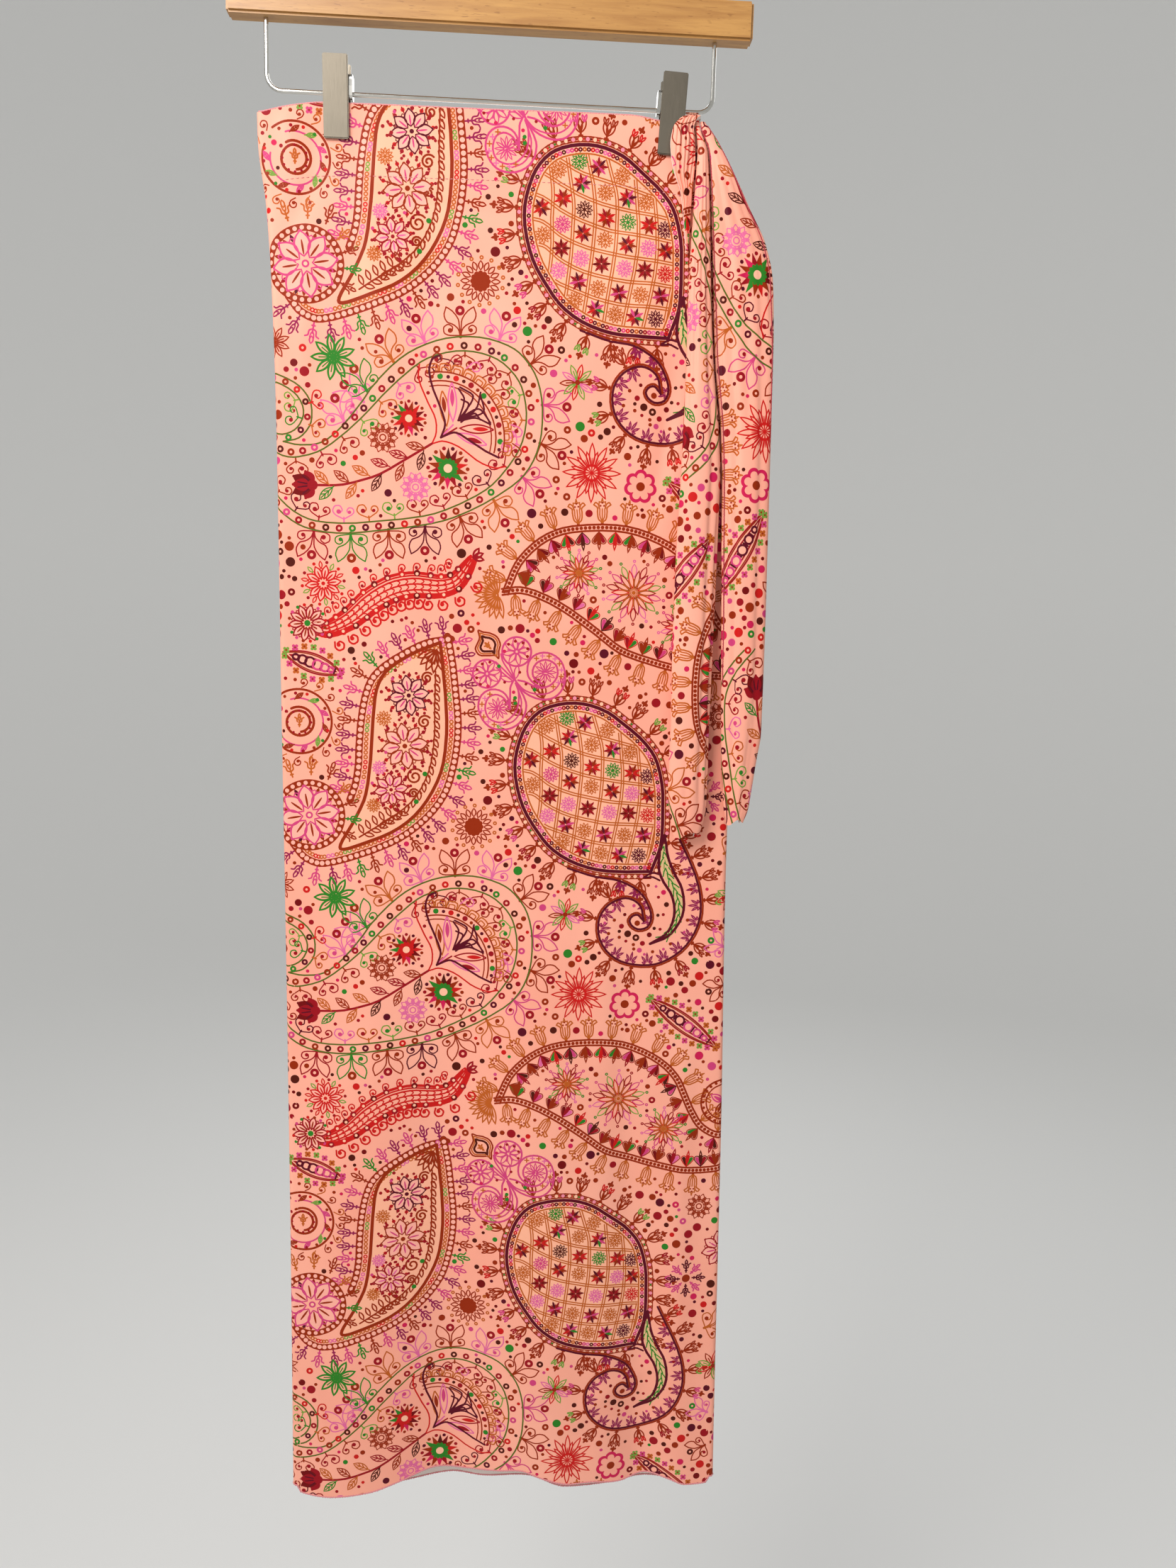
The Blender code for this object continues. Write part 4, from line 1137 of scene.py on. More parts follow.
def medallion():
    c = complex(-129, -550)
    spiral(c, 23.5, 128, -330, 1.3, "rust", 0.9)
    spiral(c, 17, 110, -300, 0.9, "rose", 0.95)
    for k in range(9):
        way = turned(100 - 34 * k)
        leaf(c + 16.5 * way, way * turned(-62), 7.5, ("rust", "olive", "rose")[k % 3])
    spiral(c, 11, 120, -560, 1.5, "rust", 0.62)
    beads(c, 8.2, 12, 0.7, "crimson")
    trident(c - 3j, turned(90), 9, "orange")
    beads(c, 20.5, 16, 1.0, ("crimson", "rust", "green", "red"), 7)
    for k in range(15):
        way = turned(86 - 22 * k)
        ink = ("rust", "orange")[k % 2]
        curl(c + 24.5 * way, c + (28.3 + k % 2) * way * turned(-3), 2.4, ink, 1, "rust", 0.55)


def eye_leaf(start, end, width=14.0):
    a, b = complex(*start), complex(*end)
    way = (b - a) / abs(b - a)
    mark(a, b, width, "crimson", belly=1.0, line=0.9)
    mark(a + way * 1.6, b - way * 1.6, width - 2.6, "rust", belly=1.0, line=0.6)
    mark(a + way * 5, b - way * 5, width * 0.52, "crimson", belly=1.0, line=0.8)
    for k, share in enumerate((0.22, 0.33, 0.45, 0.57, 0.69, 0.79)):
        size = width * 0.31 * (1 - (2 * share - 1) ** 2) - 0.4
        ring(a + (b - a) * share, size, ("plum", "rose")[k // 3], 1.2)
        middle = a + (b - a) * (share + 0.058)
        mark(middle - 1.8j * way, middle + 1.8j * way, 1.0, "plum")
    path = np.linspace(0, 1, 30)
    for side in (-1, 1):
        arc = a + (b - a) * path + 1j * way * side * (width / 2 + 3.8) * (1 - (2 * path - 1) ** 2)
        for k, (place, _) in enumerate(walk(arc, 6.2)):
            beads(place, 1.5, 4, 0.95, ("olive", "rose", "orange")[k % 3], 45)
            dot(place, 0.55, "rust")


# %% [markdown]
# The crescent is a border of dots between two rust lines, with tulips standing outside it and
# sprays of drops inside. The feather is a ribbed ribbon in red with curls along both edges.

# %% The crescent and the feather
DROP_INKS = tuple(map(colours, (
    "green rust rust", "pink blood crimson", "rust crimson rust", "rose brown crimson",
    "green brown red", "green crimson red", "rust blood rust", "crimson rose brown",
)))

# Where the spread of leaves at the crescent's narrow end has its root
FAN_TAIL = complex(9, -831)


def big_aster(x, z, radius):
    c = complex(x, z)
    tips = ("olive", "rose", "crimson", "pink")
    petals(c, radius * 0.5, radius * 0.96, 14, 0.2 * radius, tips, 13, line=0.55)
    petals(c, radius * 0.14, radius * 0.76, 14, 0.17 * radius, ("rust", "red", "crimson"), 0, line=0.5)
    petals(c, radius * 0.1, radius * 0.44, 14, 0.5, "orange", 13, belly=0.0)
    beads(c, radius * 1.04, 14, 1.0, ("green", "rose", "crimson", "pink"), 13, line=0.5)
    dot(c, 1.3, "orange")


def crescent():
    upper = smooth(
        "12 -829, 21 -808, 33.8 -794, 47.5 -785.8, 62.5 -782, 87.5 -780.6, 106 -783, 125 -790, "
        "139 -799, 149 -810, 155 -822.5, 161 -836, 169 -848, 182 -854, 204 -848"
    )
    lower = smooth(
        "12 -831, 25 -829.5, 40 -833.8, 56 -842, 75 -855, 94 -868.8, 112.5 -875.6, 137.5 -882, "
        "162.5 -886, 184 -884, 204 -876"
    )
    for path, side in ((upper, 1), (lower, -1)):
        for place, way in walk(path, 16.8, 0.8 * side):
            tulip(place, way * 1j * side, 17, "orange")
        for k, (place, way) in enumerate(walk(path[10:-8], 12.0, -4.4 * side)):
            drops(place, way * -1j * side, 13.5, DROP_INKS[(k * 3) % len(DROP_INKS)])
        line(path, 1.1, "rust")
        line(path, 1.1, "rust", -4.2 * side)
        dots_along(path, 3.0, -2.1 * side, 1.1, ("rust",))
    for x, z, radius in ((65, -814.4, 15), (104, -827, 21), (138.8, -850.6, 16)):
        big_aster(x, z, radius)
    for turn in range(96, 290, 17):
        way = turned(turn)
        mark(FAN_TAIL, FAN_TAIL + way * 17, 4.4, "orange", belly=1.0, line=0.8)
        mark(FAN_TAIL, FAN_TAIL + way * 11, 0.6, "orange")
    c = complex(184, -830)
    for radius, ink, width in ((18, "rust", 1.1), (14, "rust", 0.8)):
        ring(c, radius, ink, width)
    beads(c, 16, 22, 1.0, "rust")
    for turn, ink in ((60, "green"), (150, "rose"), (240, "rust"), (330, "red")):
        mark(c, c + 12 * turned(turn), 6, ink, belly=1.0, line=0.9)
        mark(c, c + 9 * turned(turn), 2.4, ink, belly=0.8)


def feather():
    spine = smooth(
        "-117 -857, -108.8 -857.5, -94 -850, -80 -838, -65 -829, -50 -825.5, -31.3 -826, -20 -822, "
        "-8.8 -806"
    )
    gone = np.linspace(0, 1, len(spine))
    swell = 9.2 * np.sin(np.pi * np.clip(gone * 0.93 + 0.05, 0, 1)) ** 0.55
    for k, (place, way) in enumerate(walk(spine[6:-12], 8.4)):
        curl(place + way * -1j * 10, place + way * (2.4 - 13.4j), 3.3, "red", 1, "red", 1.0)
        seed = ("crimson", "red")[k % 2]
        curl(place + way * 1j * 9, place + way * (2.6 + 12.2j), 2.3, "red", -1, seed, 0.6)
    for place, way in walk(spine, 5.2):
        near = float(swell[np.argmin(np.abs(spine - place))])
        for low, high in ((-0.84, -0.42), (-0.34, 0.04), (0.1, 0.46)):
            bow = 1.8 + 1j * near * (low + high) / 2
            rib = [place + way * 1j * near * low, place + way * bow, place + way * 1j * near * high]
            line(smooth(rib), 0.55, "red")
    for share, width in ((-0.86, 3.6), (-0.4, 0.9), (0.05, 0.9), (0.48, 1.0), (0.7, 0.9), (0.92, 1.8)):
        line(spine + 1j * headings(spine) * swell * share, width, "red")
    for k, (place, way) in enumerate(walk(spine[4:-8], 8.8)):
        near = float(swell[np.argmin(np.abs(spine - place))])
        for side in (-1, 1):
            knob = place + way * 1j * side * near * 0.9
            dot(knob, 2.1, ("crimson", "red", "blood")[k % 3])
            dot(knob + way * 1j * side * -0.5, 0.9, "cream")
    tip = complex(-8.8, -806)
    for turn in (50, 84, 118):
        mark(tip, tip + 8 * turned(turn - 60), 4.0, "crimson", belly=0.9, line=1.2)
    c = complex(-123.0, -853.8)
    open_flower(c.real, c.imag, 12.5, "crimson", 10, "rust", turn=6)
    beads(c, 12.6, 16, 1.0, ("red", "green", "rose", "rust"), 9)
    dot(c, 2.0, "green")


# %% [markdown]
# Loose dots and rings fill every gap between the motifs. Their places are drawn from a seeded
# list, the biggest dots first, and a dot is kept only where it meets no other mark, as the print's
# own dots do.

# %% Dots in the gaps, and the whole chart
# Radius, how many places are tried, and how far from any other mark
DOT_SIZES = ((3.1, 1600, 1.5), (2.4, 2600, 1.5), (1.7, 3000, 1.3), (1.1, 3200, 1.1))
RING_SIZE, RING_SHARE = 2.4, 0.3


def fill_gaps():
    placed = 0
    inks = colours(
        "rust rust brown crimson red hot green rust crimson plum brown blood crimson hot brown rust "
        "blood rose"
    )
    repeat = np.array(REPEAT)
    taken = np.array([[*m[:6], abs(m[7])] for m in MARKS])
    for radius, tries, clearance in DOT_SIZES:
        for _ in range(tries):
            place = np.array([random.uniform(a, a + b) for a, b in zip(CHART_CORNER, REPEAT)])
            away = (place - taken[:, :2] + repeat / 2) % repeat - repeat / 2
            run = (away * taken[:, 2:4]).sum(axis=1)
            off = away[:, 1] * taken[:, 2] - away[:, 0] * taken[:, 3]
            room = np.hypot(run - run.clip(-taken[:, 4], taken[:, 4]), off) - taken[:, 5] - taken[:, 6]
            if room.min() < radius + clearance:
                continue
            ink = str(random.choice(inks))
            if radius == RING_SIZE and random.random() < RING_SHARE:
                ring(complex(*place), radius, ink, 1.4)
            else:
                dot(complex(*place), radius, ink)
            taken = np.vstack([taken, [*place, 1.0, 0.0, 0.01, radius, 0.0]])
            placed += 1
    return placed


leaf_paisley()
pink_flower()
lattice_paisley()
paisley_tail()
ring_band()
fan()
rose()
loose_flowers()
pink_wheels()
medallion()
side_flowers()
eye_leaf((-140.7, -501), (-97.7, -516))
eye_leaf((123.0, -748.0), (178.5, -788.5))
crescent()
feather()
in_motifs = len(MARKS)
placed = fill_gaps()
print("strokes in the motifs:", in_motifs, "dots in the gaps:", placed)

# %% [markdown]
# ## Laying the print on cloth
#
# Each square of a cloth mesh is under 3 mm wide and keeps the few strokes that cover it most.
# For each of them its four corners store where they lie in the stroke's own frame, along it and
# across it. Between corners those numbers run evenly, so the shader can work out the exact
# distance to the stroke's edge at every point, and a line stays sharp however near the camera is.
# The chart is cut into bins first, so that a square looks only at the strokes around it.

# %% Strokes by bin
STROKES = 8
BIN = 3.0
NEAR = 1.95
EMPTY = -9.0
FAR_AWAY = 99.0
HALF_DIAGONAL = 0.71
SQUARES_AT_ONCE = 8000
REPEAT_FROM = np.array(CHART_CORNER)
REPEAT_SIZE = np.array(REPEAT)
BINS = np.ceil(REPEAT_SIZE / BIN).astype(int)


def with_neighbours(rows):
    """The chart's strokes with those of the next repeats that reach over its edges."""
    kept = []
    for lap in np.ndindex(3, 3):
        moved = rows.copy()
        moved[:, :2] += (np.array(lap) - 1) * REPEAT_SIZE
        spare = moved[:, 4:6].sum(axis=1)[:, None] + NEAR + BIN
        over = moved[:, :2] - REPEAT_FROM
        near = ((over > -spare) & (over < REPEAT_SIZE + spare)).all(axis=1)
        kept.append(np.column_stack([moved[near], np.nonzero(near)[0]]))
    together = np.concatenate(kept)
    return together[np.argsort(together[:, -1], kind="stable")]


def strokes_by_bin(rows):
    found = [[] for _ in range(BINS.prod())]
    slack = NEAR + BIN * HALF_DIAGONAL
    for n, (x, z, ux, uz, reach, radius, _, taper) in enumerate(rows[:, :8]):
        radius += abs(taper) + slack
        half = np.array([abs(ux), abs(uz)]) * reach + radius
        low = np.floor((np.array([x, z]) - half - REPEAT_FROM) / BIN).astype(int).clip(0, BINS)
        high = np.ceil((np.array([x, z]) + half - REPEAT_FROM) / BIN).astype(int).clip(0, BINS)
        bx, bz = np.meshgrid(np.arange(low[0], high[0]), np.arange(low[1], high[1]))
        gx = (bx + 0.5) * BIN + REPEAT_FROM[0] - x
        gz = (bz + 0.5) * BIN + REPEAT_FROM[1] - z
        run, off = gx * ux + gz * uz, gz * ux - gx * uz
        near = np.hypot(run - run.clip(-reach, reach), off) < radius
        for b in bx[near] + BINS[0] * bz[near]:
            found[b].append(n)
    most = max(len(entries) for entries in found)
    table = np.full((len(found), most), -1)
    for b, entries in enumerate(found):
        table[b, : len(entries)] = entries
    return table


TILED = with_neighbours(np.array(MARKS))
BIN_TABLE = strokes_by_bin(TILED)
print("strokes with neighbours:", len(TILED), "most in one bin:", BIN_TABLE.shape[1])

# %% The print on a mesh
def in_stroke(stroke, x, z):
    """Along, across and distance from the edge of a place, in the frame of a stroke."""
    dx, dz = x - stroke[..., 0], z - stroke[..., 1]
    run = dx * stroke[..., 2] + dz * stroke[..., 3]
    off = dz * stroke[..., 2] - dx * stroke[..., 3]
    reach = stroke[..., 4]
    on = run.clip(-reach, reach)
    share = on / reach
    radius = stroke[..., 5] * (1 - stroke[..., 6] * share**2) + stroke[..., 7] * share
    edge = np.hypot(run - on, off) - radius
    return run, off, np.abs(edge + stroke[..., 8]) - stroke[..., 8]


TINTED = (smooth(LATTICE_OUTLINE, step=6), smooth(HEART, step=6))


def in_tinted(places):
    """Which of many places lie inside one of the two paisleys, whose ground is paler."""
    found = np.zeros(places.shape[:-1], bool)
    across, up = places[..., 0], places[..., 1]
    for path in TINTED:
        for a, b in zip(path, path[1:]):
            if a.imag != b.imag:
                crosses = (a.imag > up) != (b.imag > up)
                meets = a.real + (up - a.imag) * (b.real - a.real) / (b.imag - a.imag)
                found ^= crosses & (across < meets)
    return found


def lay_print(mesh, corners):
    """Stores the strokes of each printed square, which are the mesh's first faces."""
    loops = len(mesh.loops)
    sizes = {"place": 3, "shape": 3, "ink": 4}
    store = [[np.zeros((loops, n), np.float32) for n in sizes.values()] for _ in range(STROKES)]
    for place, shape, ink in store:
        shape[:, 0] = EMPTY
        place[:, 2] = 1.0
    tint = np.zeros(loops, np.float32)
    crowded = 0
    for first in range(0, len(corners), SQUARES_AT_ONCE):
        square = corners[first : first + SQUARES_AT_ONCE]
        middle = square.mean(axis=1)
        lap = np.floor((middle - REPEAT_FROM) / REPEAT_SIZE) * REPEAT_SIZE
        square, middle = square - lap[:, None], middle - lap
        at = ((middle - REPEAT_FROM) // BIN).astype(int)
        choice = BIN_TABLE[at[:, 0] + BINS[0] * at[:, 1]]
        edge = in_stroke(TILED[choice], middle[:, :1], middle[:, 1:])[2]
        edge[choice < 0] = FAR_AWAY
        crowded += int(((edge < NEAR).sum(axis=1) > STROKES).sum())
        best = np.argsort(edge, axis=1)[:, :STROKES]
        picked = np.take_along_axis(choice, best, 1)
        picked[np.take_along_axis(edge, best, 1) > NEAR] = -1
        picked.sort(axis=1)
        rows = slice(first * 4, (first + len(square)) * 4)
        tint[rows] = in_tinted(square).ravel()
        for k, (place, shape, ink) in enumerate(store):
            stroke = TILED[picked[:, k]][:, None]
            run, off, _ = in_stroke(stroke, square[..., 0], square[..., 1])
            reach = np.broadcast_to(stroke[..., 4], run.shape)
            place[rows] = np.stack([run, off, reach], -1).reshape(-1, 3)
            drawn = (picked[:, k] >= 0)[:, None, None]
            form = np.where(drawn, stroke[..., 5:8], [EMPTY, 0.0, 0.0])
            shape[rows] = np.broadcast_to(form, (*run.shape, 3)).reshape(-1, 3)
            colour = np.concatenate([stroke[..., 9:12], stroke[..., 8:9]], -1)
            ink[rows] = np.broadcast_to(colour, (*run.shape, 4)).reshape(-1, 4)
    mesh.attributes.new("tint", "FLOAT", "CORNER").data.foreach_set("value", tint)
    for k, arrays in enumerate(store):
        for name, values in zip(sizes, arrays):
            kind = "FLOAT_COLOR" if name == "ink" else "FLOAT_VECTOR"
            made = mesh.attributes.new(f"{name}_{k}", kind, "CORNER")
            made.data.foreach_set("color" if name == "ink" else "vector", values.ravel())
    return crowded


# %% [markdown]
# ## Cloth finish
#
# The satin is a thin knit with a soft shine. Its ground is a warm peach that varies a little, as
# the dye does, and is paler inside two of the paisleys. The strokes are laid over it in drawing
# order, each by a mask from its distance. The knit shows as very fine ribs down the cloth, so a
# bump carries those, and roughness varies with them. The wrong side is the unprinted white of the
# yarn. Highlights are kept faint, because a veil of them would wash the inks out.

# %% Satin, its wrong side and the thread
GROUND = (*linear("FCAF98"), 1.0)
GROUND_DEEP = (*linear("F8A48D"), 1.0)
GROUND_PALE = (*linear("FCB595"), 1.0)
PALE_SHARE = 0.85
WRONG_SIDE, THREAD, CRIMSON_THREAD_AND_VALLEY_SHADE = "F4E3DA", "E58F92", "B02A3C"
EDGE_SOFTNESS = 0.22
INK_SPREAD = 0.15
RIB, GRAIN = 1300.0, 2600.0


def stroke_mask(blank, k):
    """1 inside the k-th stroke of a square and 0 outside, with a soft edge."""
    place = blank.node("ShaderNodeAttribute", out="Vector", attribute_name=f"place_{k}")
    shape = blank.node("ShaderNodeAttribute", out="Vector", attribute_name=f"shape_{k}")
    ink = blank.node("ShaderNodeAttribute", out="Color", attribute_name=f"ink_{k}")
    run, off, reach = place.parts()
    width, belly, taper = shape.parts()
    on = run.math("MAXIMUM", -reach).math("MINIMUM", reach)
    share = on / reach
    radius = width * (1 - belly * share * share) + taper * share
    past = run - on
    distance = (past * past + off * off).math("SQRT") - radius
    hollow = ink.also("Alpha")
    edge = abs(distance + hollow) - hollow
    return (0.5 - (edge - INK_SPREAD) / EDGE_SOFTNESS).held(0.0, 1.0), ink


def cloth_texture(blank):
    """Slow unevenness and the fine knit, both from the place on the object."""
    spot = blank.node("ShaderNodeTexCoord", out="Object")
    slow = blank.node("ShaderNodeTexNoise", {"Vector": spot, "Scale": 9.0, "Detail": 3.0})
    knit = blank.node(
        "ShaderNodeTexWave", {"Vector": spot, "Scale": RIB, "Distortion": 1.2, "Detail": 1.0},
        out="Fac", wave_type="BANDS", bands_direction="X",
    )
    grain = blank.node("ShaderNodeTexNoise", {"Vector": spot, "Scale": GRAIN, "Detail": 1.0})
    return slow, knit, grain


def roughen(shader, height, strength, distance):
    bump = height.node(
        "ShaderNodeBump", {"Height": height, "Strength": strength, "Distance": distance}
    )
    bump.into(shader, "Normal")


def make_satin():
    made, blank, shader = start_finish("printed satin", 0.42, {"Specular IOR Level": 0.1})
    slow, knit, grain = cloth_texture(blank)
    colour = mixed(slow.held(0.3, 0.7) * 2.5 - 0.75, GROUND, GROUND_DEEP)
    tint = blank.node("ShaderNodeAttribute", out="Fac", attribute_name="tint")
    colour = mixed(tint * PALE_SHARE, colour, GROUND_PALE)
    for k in range(STROKES):
        mask, ink = stroke_mask(blank, k)
        colour = mixed(mask, colour, ink)
    colour.into(shader, "Base Color")
    (0.37 + slow * 0.1 + grain * 0.06).into(shader, "Roughness")
    roughen(shader, knit * 0.5 + grain * 0.6, 0.07, 0.0002)
    return made


def make_plain_cloth(name, code, ribs, strength):
    made, blank, shader = start_finish(name, 0.7, {"Sheen Weight": 0.3, "Sheen Roughness": 0.5})
    slow, knit, grain = cloth_texture(blank)
    colour = linear(code)
    darker = tuple(c * 0.86 for c in colour)
    mixed(slow * 0.6 + grain * 0.4, (*colour, 1.0), (*darker, 1.0)).into(shader, "Base Color")
    (0.62 + grain * 0.2).into(shader, "Roughness")
    roughen(shader, knit * ribs + grain, strength, 0.0003)
    return made


SATIN = make_satin()
BACK_OF_SATIN = make_plain_cloth("wrong side of the satin", WRONG_SIDE, 0.6, 0.2)
EDGE_THREAD = make_plain_cloth("overlock thread", THREAD, 0.2, 0.5)
# The crimson thread of the strip's edges. The roll in the valley between the two ends uses it too, and
# there it also paints the valley's dark crimson shade.
STRIP_THREAD_AND_VALLEY_SHADE = make_plain_cloth("edge of the strip and painted valley shade", CRIMSON_THREAD_AND_VALLEY_SHADE, 0.2, 0.5)
print("satin nodes:", len(SATIN.node_tree.nodes))

# %% [markdown]
# ## The two panels
#
# The tube hangs flat, so it is two broad panels that meet at the side edges. Each panel is a
# closed thin shell: a grid for the printed side, the same grid a millimetre inwards for the wrong
# side, and a rim. Cloth simulation would drape it, but the clips hold a known line and the real
# folds are few, so the sway of both layers, the folds of one layer and the press of the clips are
# written as soft bumps along lines. They are those of the solids, with finer creases added.

# %% Tables of the outline
LEFT_EDGE = (
    (-150, -154), (-167, -153.6), (-208, -148.6), (-256, -145.8), (-348, -143.5), (-541, -142),
    (-748, -140.2), (-969, -139), (-1150, -138.6),
)
RIGHT_EDGE = (
    (-183, 163), (-220, 173), (-275, 177), (-620, 178.2), (-857, 183.3), (-1091, 187.3), (-1150, 188.6),
)
WAIST_LINE = (
    (-154, -150), (-130, -144), (-111, -141.6), (-2, -140.4), (92, -139.4), (112, -142),
    (131, -144.4), (141, -148), (152, -162), (163, -183),
)
FRONT_HEM = (
    (-139, -1138), (-135, -1144.5), (-113, -1147.5), (-84, -1145.5), (-59, -1139.5), (-28, -1132),
    (-8, -1133), (18, -1131), (36, -1128.5), (54, -1134), (77, -1139.5), (92, -1139),
    (117, -1141.5), (138, -1137), (155, -1140), (170, -1145), (185, -1144.5), (188.6, -1139),
)
BACK_HEM = (
    (-139, -1139), (-135, -1145), (-100, -1149), (-60, -1146), (-20, -1144), (5, -1147),
    (45, -1141.5), (72, -1149), (90, -1150), (130, -1146), (185, -1145), (188.6, -1140),
)


def through(table, at):
    """A value of a table of places and values, on a smooth curve that never overshoots."""
    places, values = np.array(sorted(table), float).T
    steps = np.diff(values) / np.diff(places)
    slopes = np.concatenate([steps[:1], np.zeros(len(steps) - 1), steps[-1:]])
    before, after = steps[:-1], steps[1:]
    same = before * after > 0
    slopes[1:-1][same] = 2 * before[same] * after[same] / (before[same] + after[same])
    at = np.clip(at, places[0], places[-1])
    i = np.clip(np.searchsorted(places, at, side="right") - 1, 0, len(steps) - 1)
    wide = places[i + 1] - places[i]
    t = (at - places[i]) / wide
    return (
        values[i] * (2 * t**3 - 3 * t**2 + 1)
        + slopes[i] * wide * (t**3 - 2 * t**2 + t)
        + values[i + 1] * (3 * t**2 - 2 * t**3)
        + slopes[i + 1] * wide * (t**3 - t**2)
    )


def ease(share):
    share = np.clip(share, 0.0, 1.0)
    return share * share * (3.0 - 2.0 * share)


def swell(distance, width):
    return np.exp(-((distance / width) ** 2))


# %% Folds
HEM_LEVEL = -1150.0
CREASE_DEPTH, CREASE_FADE, CREASE_BOW = 1.4, 0.35, 5.0
CALM_EDGE, FOLD_GROWS = 30.0, 260.0
EDGE_RADIUS = 3.6
CLOTH = 1.2
SHELL = 0.9
SEAM_GAP = 0.3
CLIP_WIDTH = 16.5
CLIP_JAW = -163.2
CLIP_AT = (-102.0, 120.6)
# How far from a jaw its press is felt, and how far it reaches beside and below
JAW_MARGIN, PRESS_BESIDE, PRESS_BELOW = 4.0, 9.0, 22.0
JAW_SLOPE = 0.1
# Both layers together: x at the top and at the hem, height where it starts, width, swing back
SWAYS = (
    (-95, -108, -420, 30, -3.5),
    (-10, -18, -520, 38, 10),
    (60, 66, -560, 26, -4),
    (118, 132, -760, 17, 5),
)
# One layer alone: the same, and how far it stands out
FRONT_FOLDS = (
    (-60, -72, -150, 34, 2.2),
    (30, 30, -150, 44, 4),
    (88, 98, -320, 18, 2),
    (120, 158, -640, 22, 1.6),
)
BACK_FOLDS = (
    (-70, -84, -150, 26, 2.6),
    (8, 22, -150, 44, 4.2),
    (80, 90, -260, 24, 2.4),
    (132, 150, -420, 20, 2),
)
# Fine creases: from x, z to x, z, width and depth, minus for a trough
FRONT_CREASES = (
    (-140, -196, 20, -205, 5, -0.7),
    (20, -205, 128, -214, 6, -0.6),
    (-110, -168, -150, -240, 8, -1.0),
    (-96, -170, -62, -330, 9, 0.9),
    (-146, -152, -122, -176, 5, 1.1),
    (-70, -152, 50, -166, 6, -0.8),
    (126, -182, 62, -236, 7, -1.0),
    (126, -206, 90, -340, 8, 1.0),
    (130, -240, 112, -440, 7, -0.9),
    (-40, -360, -8, -560, 12, 0.8),
    (20, -840, 70, -1010, 13, -0.9),
    (-98, -170, -40, -260, 12, 0.9),
    (112, -172, 70, -300, 12, 0.9),
    (126, -176, 128, -420, 9, -0.9),
    (-128, -180, -132, -420, 7, 0.7),
    (-30, -150, -52, -420, 14, -0.9),
    (62, -300, 40, -640, 16, -0.8),
    (-104, -520, -70, -900, 15, 0.8),
    (100, -640, 122, -1010, 12, -0.9),
    (150, -700, 160, -1120, 9, 0.8),
    (-20, -760, 16, -1120, 16, 0.9),
    (40, -1060, 92, -1128, 9, -1.1),
    (-120, -960, -96, -1130, 9, -0.8),
    (60, -1100, 150, -1040, 7, 0.6),
)
BACK_CREASES = (
    (-130, -190, 10, -212, 6, 0.7),
    (20, -150, 44, -380, 14, 0.9),
    (-60, -240, -20, -600, 15, -0.9),
    (90, -420, 70, -820, 14, 0.8),
    (-110, -620, -86, -1010, 12, -0.8),
    (20, -780, -10, -1120, 16, -0.9),
    (120, -820, 140, -1130, 10, 0.9),
    (-60, -1040, -30, -1134, 10, 0.8),
)


def fold_x(top, hem, start, z):
    return top + (hem - top) * np.clip((start - z) / (start - HEM_LEVEL), 0.0, 1.0)


def sway(x, z):
    total = 0.0
    for top, hem, start, width, swing in SWAYS:
        grown = ease((start - z) / (start - HEM_LEVEL))
        total = total + swing * grown * swell(x - fold_x(top, hem, start, z), width)
    return total


def creased(x, z, creases):
    """Soft ridges and troughs along short lines, fading out at both ends."""
    total = np.zeros_like(x)
    for ax, az, bx, bz, width, depth in creases:
        run = np.array([bx - ax, bz - az], float)
        long = np.hypot(*run)
        run /= long
        along = (x - ax) * run[0] + (z - az) * run[1]
        across = (z - az) * run[0] - (x - ax) * run[1]
        across = across + CREASE_BOW * np.sin(along / long * 2.6 + ax)
        fade = CREASE_FADE * long
        ends = ease(along / fade) * ease((long - along) / fade)
        total += depth * ends * swell(across, width)
    return total


def half_gap(x, z, folds, creases):
    """How far a layer's printed face stands from the middle of the flat tube."""
    near_edge = np.minimum(x - through(LEFT_EDGE, z), through(RIGHT_EDGE, z) - x)
    calm = ease(near_edge / CALM_EDGE)
    total = EDGE_RADIUS + CREASE_DEPTH * creased(x, z, creases) * calm
    for top, hem, start, width, out in folds:
        grown = ease((start - z) / FOLD_GROWS) * calm
        total = total + out * grown * swell(x - fold_x(top, hem, start, z), width)
    pressed = CLOTH + SEAM_GAP / 2 + JAW_SLOPE * np.maximum(0.0, z - CLIP_JAW)
    for clip_x in CLIP_AT:
        outside = np.maximum(0.0, np.abs(x - clip_x) - CLIP_WIDTH / 2 - JAW_MARGIN)
        below = np.maximum(0.0, CLIP_JAW - JAW_MARGIN - z)
        held = swell(outside, PRESS_BESIDE) * swell(below, PRESS_BELOW)
        total = total + (np.minimum(pressed, EDGE_RADIUS) - total) * held
    return total


print("folds of the front:", len(FRONT_FOLDS) + len(SWAYS), "creases:", len(FRONT_CREASES))

# %% Shells
SHARP_ANGLE = math.radians(60)


def run_length(path):
    """How far along a path each of its points lies."""
    return np.concatenate([[0], np.cumsum(np.linalg.norm(np.diff(path, axis=0), axis=1))])


def grid_normals(grid):
    down = np.gradient(grid, axis=0)
    across = np.gradient(grid, axis=1)
    normals = np.cross(across, down)
    return normals / np.maximum(np.linalg.norm(normals, axis=2, keepdims=True), TINY)


def add_piece(name, mesh):
    piece = add_object(name, mesh)
    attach(piece, "root")
    return piece


